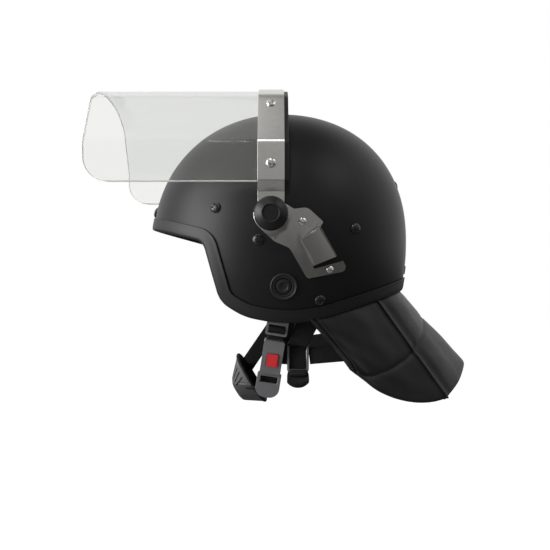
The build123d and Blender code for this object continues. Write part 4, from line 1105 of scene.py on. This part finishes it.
def leg_point(along, side=1, out=0.0):
    """A place down one leg of the chin strap, moved out of its plane."""
    return leg_points(np.array([[along, out]]), side)[0]


def looped(start, end, across, bar_radius, back):
    """A strap's line: from start to a bar at end, round it and some way back on itself."""
    start, end = np.asarray(start, float), np.asarray(end, float)
    run = (end - start) / np.linalg.norm(end - start)
    side = np.cross(run, across / np.linalg.norm(across))
    side /= np.linalg.norm(side)
    turn = np.linspace(0, math.pi, 14)[:, None]
    eye = end + bar_radius * (np.cos(turn) * side + np.sin(turn) * run)
    tail = end - run * back - side * bar_radius * 0.55
    return np.concatenate([[start + side * bar_radius * 0.3], eye, [tail]])


class HELMET_OT_webbing(bpy.types.Operator):
    """Builds the straps of webbing, the nape band and the spare loop"""

    bl_idname = "helmet.webbing"
    bl_label = "Webbing"

    def strap(self, name, line, across, body="helmet", nodes=None, section=None, widen=(1, 1)):
        """Webbing along a line, with the common section unless another is given."""
        if section is None:
            section = flat_section(sizes().webbing_width, sizes().webbing_thick)
        points, faces, weave = swept(line, across, section, widen)
        put(name, points, faces, "webbing_black", body, nodes, angle=50, weave=weave)

    def execute(self, context):
        front_y, rear_y, tail = 4 * MM, 47.9 * MM, 12 * MM
        for side, name in ((1, "left"), (-1, "right")):
            top = leg_point(0, side)
            anchor_x = dome_x(front_y, ANCHOR_Z, ANCHOR_IN) - 4.2 * MM
            anchor = np.array((side * anchor_x, front_y, ANCHOR_Z))
            line = looped(anchor, top, HANG_ACROSS * side, EYE, tail)
            if side > 0:
                weave = rounded_path(WEAVE, np.array([0, 0.8, 0.8, 0.8, 0.8, 0.8, 0]) * MM, 0.3 * MM)
                line = np.concatenate([[anchor], leg_points(weave)])
            self.strap(f"Front_Strap_{name}", evenly(line, step=WEB_STEP), HANG_ACROSS)
            anchor_x = dome_x(rear_y, ANCHOR_Z, ANCHOR_IN) - 6.2 * MM
            bar = np.array((side * 80, 27, -127.2)) * MM
            anchor = (side * anchor_x, rear_y, ANCHOR_Z)
            line = looped(anchor, bar, np.array((0, side, 0)), EYE, tail)
            self.strap(f"Rear_Strap_{name}", evenly(line, step=WEB_STEP), (0, 1, 0), widen=(1.45, 1))
        # The tongue's slot lies below the slide, the buckle and the tongue's neck
        below_slide, buckle_long, gap, neck, slot_in = np.array((6, 35, 0.1, 4, 3.5)) * MM
        slot = 2 * RING_BAR + below_slide + buckle_long + gap + neck + slot_in
        line = spline([
            leg_point(slot - 4.5 * MM, out=-3.2 * MM), leg_point(slot + 6 * MM, out=-4.5 * MM),
            CUP + np.array((41, 4, -7)) * MM, CUP + np.array((33, 1, -8.5)) * MM,
        ], 30)
        self.strap("Cup_Strap_left", evenly(line, step=WEB_STEP), HANG_ACROSS, "chin_set", widen=(1.15, 1))
        far_ring = leg_point(2 * RING_BAR, -1)
        line = looped(CUP + np.array((-33, -12, 1)) * MM, far_ring, -HANG_ACROSS, EYE, 14 * MM)
        self.strap("Cup_Strap_right", evenly(line, step=WEB_STEP), HANG_ACROSS, "chin_set")
        self.nape_band()
        self.spare_loop()
        self.loose_end()
        return {"FINISHED"}

    def nape_band(self):
        """The band round the nape: an open ring of webbing, round at its corners, that rises a little
        towards the back.
        """
        corner_x, start_y = 79.3 * MM - 1.5 * MM, 36.8 * MM
        half = np.array([(corner_x, 0), (corner_x, 50 * MM), (44 * MM, 78.5 * MM), (0, 84.5 * MM)])
        full = np.concatenate([half, (half * (-1, 1))[-2::-1]])
        flat = rounded_path(full, np.array([0, 25, 25, 10, 25, 25, 0]) * MM)
        flat = flat[2:-2]
        rise = flat[:, 1] * math.tan(math.radians(7.0))
        line = np.stack([flat[:, 0], start_y + flat[:, 1], -141 * MM + rise], axis=1)
        self.strap(
            "Nape_Band", evenly(line, step=WEB_STEP), (0, 0, 1), nodes=["nape_strap"],
            section=flat_section(16.6 * MM, 2.6 * MM), widen=(1, 1.25, 1.25, 1.25, 1.25, 1),
        )

    def loose_end(self):
        """The end of the left webbing: it comes out behind the slide and hangs straight down."""
        along = np.array([2, 10, 18, 26, 36, 47]) * MM
        out = np.array([-4.6, -4.7, -5.9, -6.4, -6.6, -6.8]) * MM
        shift = np.array([6.0, 6.4, 7.2, 8.2, 9.4, 10.6]) * MM
        line = leg_points(np.stack([along, out], axis=1)) + shift[:, None] * HANG_ACROSS
        self.strap("Loose_End", spline(line, 60), HANG_ACROSS, widen=(1.25, 1))

    def spare_loop(self):
        """The spare webbing: it comes down behind the ring, goes round its lower bar and hangs in a
        slim loop."""
        x, y, top = 80 * MM, 27 * MM, -154.8 * MM
        foot = top - 12 * MM
        turn = np.linspace(0, math.pi, 16)
        level = np.full(16, y)
        belly = 5.1 * MM
        over = np.stack([x + EYE * np.cos(turn), level, top + EYE * np.sin(turn)], axis=1)
        under = np.stack([x - belly * np.cos(turn), level, foot - belly * np.sin(turn)], axis=1)
        behind = np.array([(x - EYE, y, top + 24.4 * MM), (x - EYE, y, top + 12 * MM)])
        foot_end = np.array([(x + 4.9 * MM, y, top - 4 * MM), (x + 3.0 * MM, y, top + 1.0 * MM)])
        line = evenly(np.concatenate([behind, over[::-1][:2], under[::-1], foot_end]), step=WEB_STEP)
        section = flat_section(sizes().webbing_width, sizes().webbing_thick)
        points, faces, weave = swept(line, (0, 1, 0), section, (1, 1, 1.05, 1.3, 1.32, 1.3, 1.05, 1))
        # Towards the foot its edges are raised, so that it ends in a round tip
        low = np.clip((top - 4 * MM - points[..., 2]) / (12 * MM), 0, 1)
        points[..., 2] += low * 5 * MM * (np.abs(points[..., 1] - y) / (11 * MM)) ** 2.4
        put("Spare_Loop", points, faces, "webbing_black", angle=50, weave=weave)


class HELMET_OT_buckle(bpy.types.Operator):
    """Finishes the latch buckle, its red button, the tongue and the rings"""

    bl_idname = "helmet.buckle"
    bl_label = "Latch Buckle"

    def execute(self, context):
        for name, node, body, rounding in (
            ("Buckle_Body", "buckle_body", "helmet", 0.7), ("Tongue", "tongue", "chin_set", 0.6),
            ("Strap_Slide", "strap_ring_left", "helmet", 0.45),
            ("Strap_Ring", "strap_ring_right", "helmet", 0.6),
            ("Rear_Ring_left", "rear_ring_left", "helmet", 0.6),
            ("Rear_Ring_right", "rear_ring_right", "helmet", 0.6),
        ):
            eased(name, node, "hardware_grey", rounding * MM, body)
        eased("Release_Button", "release_button", "button_red", 0.5 * MM, "button")
        finish_node("screw_steel", "latch_spring", "strap_anchors")
        return {"FINISHED"}


class HELMET_OT_chin_cup(bpy.types.Operator):
    """Builds the moulded chin cup with its vent slots and the padded lining"""

    bl_idname = "helmet.chin_cup"
    bl_label = "Chin Cup"

    def bowl(self, inset, rows, count=240):
        """A bowl with a slanted wall and a flat cap: rings run in straight lines from a rim of 41
        by 30 mm to a cap ring at 20 mm depth, whose ring then shrinks to the cap's middle."""
        lean = math.radians(58.0)
        out = np.array((0, -math.sin(lean), -math.cos(lean)))
        first = np.array((1.0, 0, 0))
        second = np.cross(out, first)
        around = np.linspace(0, 2 * math.pi, count, endpoint=False)[None]
        c, s = np.cos(around), np.sin(around)
        t = np.linspace(0, 1.5, rows)[:, None]
        wall, cap = np.clip(t, 0, 1), np.clip((t - 1) / 0.5, 0, 1)
        blunt = np.maximum(0.12 - np.abs(t - 1), 0) * 0.35
        rim_wide = (41 * MM - inset) * np.sign(c) * np.abs(c) ** 0.85
        rim_high = (30 * MM - inset) * np.sign(s) * np.abs(s) ** 0.85
        cap_wide = (24 * MM - inset) * np.sign(c) * np.abs(c) ** 0.7
        cap_high = (12.5 * MM - inset * 0.6) * np.sign(s) * np.abs(s) ** 0.7 - 3 * MM
        wide = (rim_wide + (cap_wide - rim_wide) * wall) * (1 - cap)
        high = (rim_high + (cap_high - rim_high) * wall) * (1 - cap) - 3 * MM * cap
        depth = ((20.4 * MM - inset) * wall + 1.3 * MM * np.sin(cap * math.pi / 2)) * (1 - blunt)
        depth = depth * np.ones_like(around)
        points = CUP + wide[..., None] * first + high[..., None] * second + depth[..., None] * out
        return points, t, around, out

    def execute(self, context):
        outer, t, around, out = self.bowl(0.0, 70)
        inner = self.bowl(2.3 * MM, 70)[0]
        # Vent slots round the upper wall, where a cosine wave is high, and a level seam both draw
        # the outer face in towards the cup's middle
        slots = (np.cos(around * 22) > 0.55) & (t > 0.28) & (t < 0.8) & (np.sin(around) > 0.1)
        seam = np.exp(-np.abs(outer[..., 2] - CUP_SEAM_Z) / (0.6 * MM))
        outer = outer - (outer - CUP) * (slots * 0.05 + seam * 0.03)[..., None]
        points = np.concatenate([outer, inner[::-1]])
        half, count = outer.shape[:2]
        faces = grid_faces(half, count, close_columns=True)
        inside = faces + half * count
        j = np.arange(count)
        last = (2 * half - 1) * count
        rim = np.stack([j, (j + 1) % count, last + (j + 1) % count, last + j], axis=1)
        faces = np.concatenate([faces, inside, rim])
        put("Chin_Cup", points, faces, "cup_grey", "chin_set")
        pad_out, pad_in = self.bowl(2.8 * MM, 40)[0], self.bowl(5.6 * MM, 40)[0]
        points = np.concatenate([pad_out[::-1], pad_in])
        faces = grid_faces(*points.shape[:2], close_columns=True)
        put("Cup_Lining", points, faces, "pad_black", "chin_set", angle=60)
        edge = self.bowl(1.2 * MM, 40)[0][0]
        edge = np.concatenate([edge, edge[:2]])
        points, faces, weave = swept(edge, out, round_section(1.7 * MM))
        put(
            "Cup_Binding", points, faces, "pad_black", "chin_set",
            angle=60, weave=weave, look="webbing_black",
        )
        return {"FINISHED"}


def lamp(name, place, target, size, power):
    """A square area lamp that looks at a target."""
    light = bpy.data.lights.new(name, "AREA")
    light.energy, light.size, light.shape = power, size, "SQUARE"
    made = new_object(name, light)
    made.location = place
    made.rotation_euler = (Vector(target) - Vector(place)).to_track_quat("-Z", "Y").to_euler()


class HELMET_OT_stage(bpy.types.Operator):
    """Sets the pale floor, the white surroundings, the soft lamps and the side-on camera"""

    bl_idname = "helmet.stage"
    bl_label = "Studio"

    def surroundings(self, scene):
        """White where the camera, glass and far reflections look; darker towards the lens side."""
        world = bpy.data.worlds.new("Studio")
        scene.world = world
        tree = Tree(world)
        look = tree.node("ShaderNodeTexCoord", out=0)
        toward = tree.part(look, "X").ramp(-0.25, 0.55)
        above = tree.part(look, "Z").ramp(0.65, 0.98)
        side = tree.part(look, "Z").ramp(-0.2, 0.15) * 0.4 + 0.03
        mirrored = ((1.0 - toward) + toward * side) * (1.0 - above * 0.78)
        seen, gloss, through = (tree.node("ShaderNodeLightPath", out=k) for k in (0, 3, 6))
        plain = 0.07
        level = gloss * mirrored + (1 - gloss) * plain
        shows = (seen + through) > 0.5
        level = shows + (1 - shows) * level
        back = tree.node("ShaderNodeBackground", None, (1.0, 1.0, 1.0), level)
        tree.node("ShaderNodeOutputWorld", None, back)

    def floor(self, studio):
        """A wide pale floor that still takes the shadow."""
        tree = start("Pale floor")
        mottle = tree.noise(0.4, 2.0)
        seen = (tree.node("ShaderNodeLightPath", out=0) + tree.node("ShaderNodeLightPath", out=6)) > 0.5
        pale = tree.mix(mottle * 0.05, (0.34, 0.34, 0.34), (0.31, 0.31, 0.31))
        tree.shade(pale, 0.9, Emission_Color=(1.0, 1.0, 1.0), Emission_Strength=seen * 0.92)
        mesh = bpy.data.meshes.new("Floor")
        half, z = 6.0, studio.floor_z
        corners = [(-half, -half, z), (half, -half, z), (half, half, z), (-half, half, z)]
        mesh.from_pydata(corners, [], [(0, 1, 2, 3)])
        mesh.materials.append(tree.owner)
        new_object("Floor", mesh)

    def execute(self, context):
        scene = bpy.context.scene
        studio = scene.helmet_studio
        scene.view_settings.view_transform = "Standard"
        self.surroundings(scene)
        self.floor(studio)
        lamp("Key", (0.6, -1.3, 0.25), (0, -0.02, -0.03), 1.0, studio.key)
        lamp("Top", (0.1, -0.5, 1.4), (0, 0, 0), 0.9, studio.top)
        lamp("Crease", (0.84, -0.1, 0.85), (0.1, 0, 0.07), 0.09, studio.crease)
        lamp("Rear_Fill", (0.75, 1.0, 1.1), (0, 0.05, 0), 0.7, studio.fill)
        camera = bpy.data.cameras.new("Camera")
        camera.sensor_width, camera.lens = 36.0, studio.lens
        made = new_object("Camera", camera)
        made.location = (studio.camera_x, studio.camera_y, studio.camera_z)
        made.rotation_euler = (math.pi / 2, 0, math.pi / 2)
        scene.camera = made
        return {"FINISHED"}


OPERATORS = (
    HELMET_OT_shell, HELMET_OT_trim, HELMET_OT_visor, HELMET_OT_arch, HELMET_OT_screws, HELMET_OT_bracket,
    HELMET_OT_knobs, HELMET_OT_liner, HELMET_OT_grommets, HELMET_OT_guard, HELMET_OT_webbing,
    HELMET_OT_buckle, HELMET_OT_chin_cup, HELMET_OT_stage,
)


class HELMET_PT_panel(bpy.types.Panel):
    """Lists the helmet's colours, sizes and building steps"""

    bl_idname = "HELMET_PT_panel"
    bl_label = "Riot Helmet"
    bl_space_type = "VIEW_3D"
    bl_region_type = "UI"
    bl_category = "Helmet"

    def draw(self, context):
        for group in (getattr(context.scene, name) for name in GROUPS):
            box = self.layout.box()
            for key in group.__annotations__:
                box.prop(group, key)
        for operator in OPERATORS:
            self.layout.operator(operator.bl_idname)


GROUPS = {"helmet_colours": HelmetColours, "helmet_sizes": HelmetSizes, "helmet_studio": HelmetStudio}
CLASSES = (*GROUPS.values(), *OPERATORS, HELMET_PT_panel)


def register():
    for each in CLASSES:
        bpy.utils.register_class(each)
    for name, group in GROUPS.items():
        setattr(bpy.types.Scene, name, bpy.props.PointerProperty(type=group))


def unregister():
    for name in GROUPS:
        delattr(bpy.types.Scene, name)
    for each in reversed(CLASSES):
        bpy.utils.unregister_class(each)


def main():
    """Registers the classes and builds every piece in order."""
    register()
    for operator in OPERATORS:
        getattr(bpy.ops.helmet, operator.bl_idname.split(".")[1])()


if __name__ == "__main__":
    main()
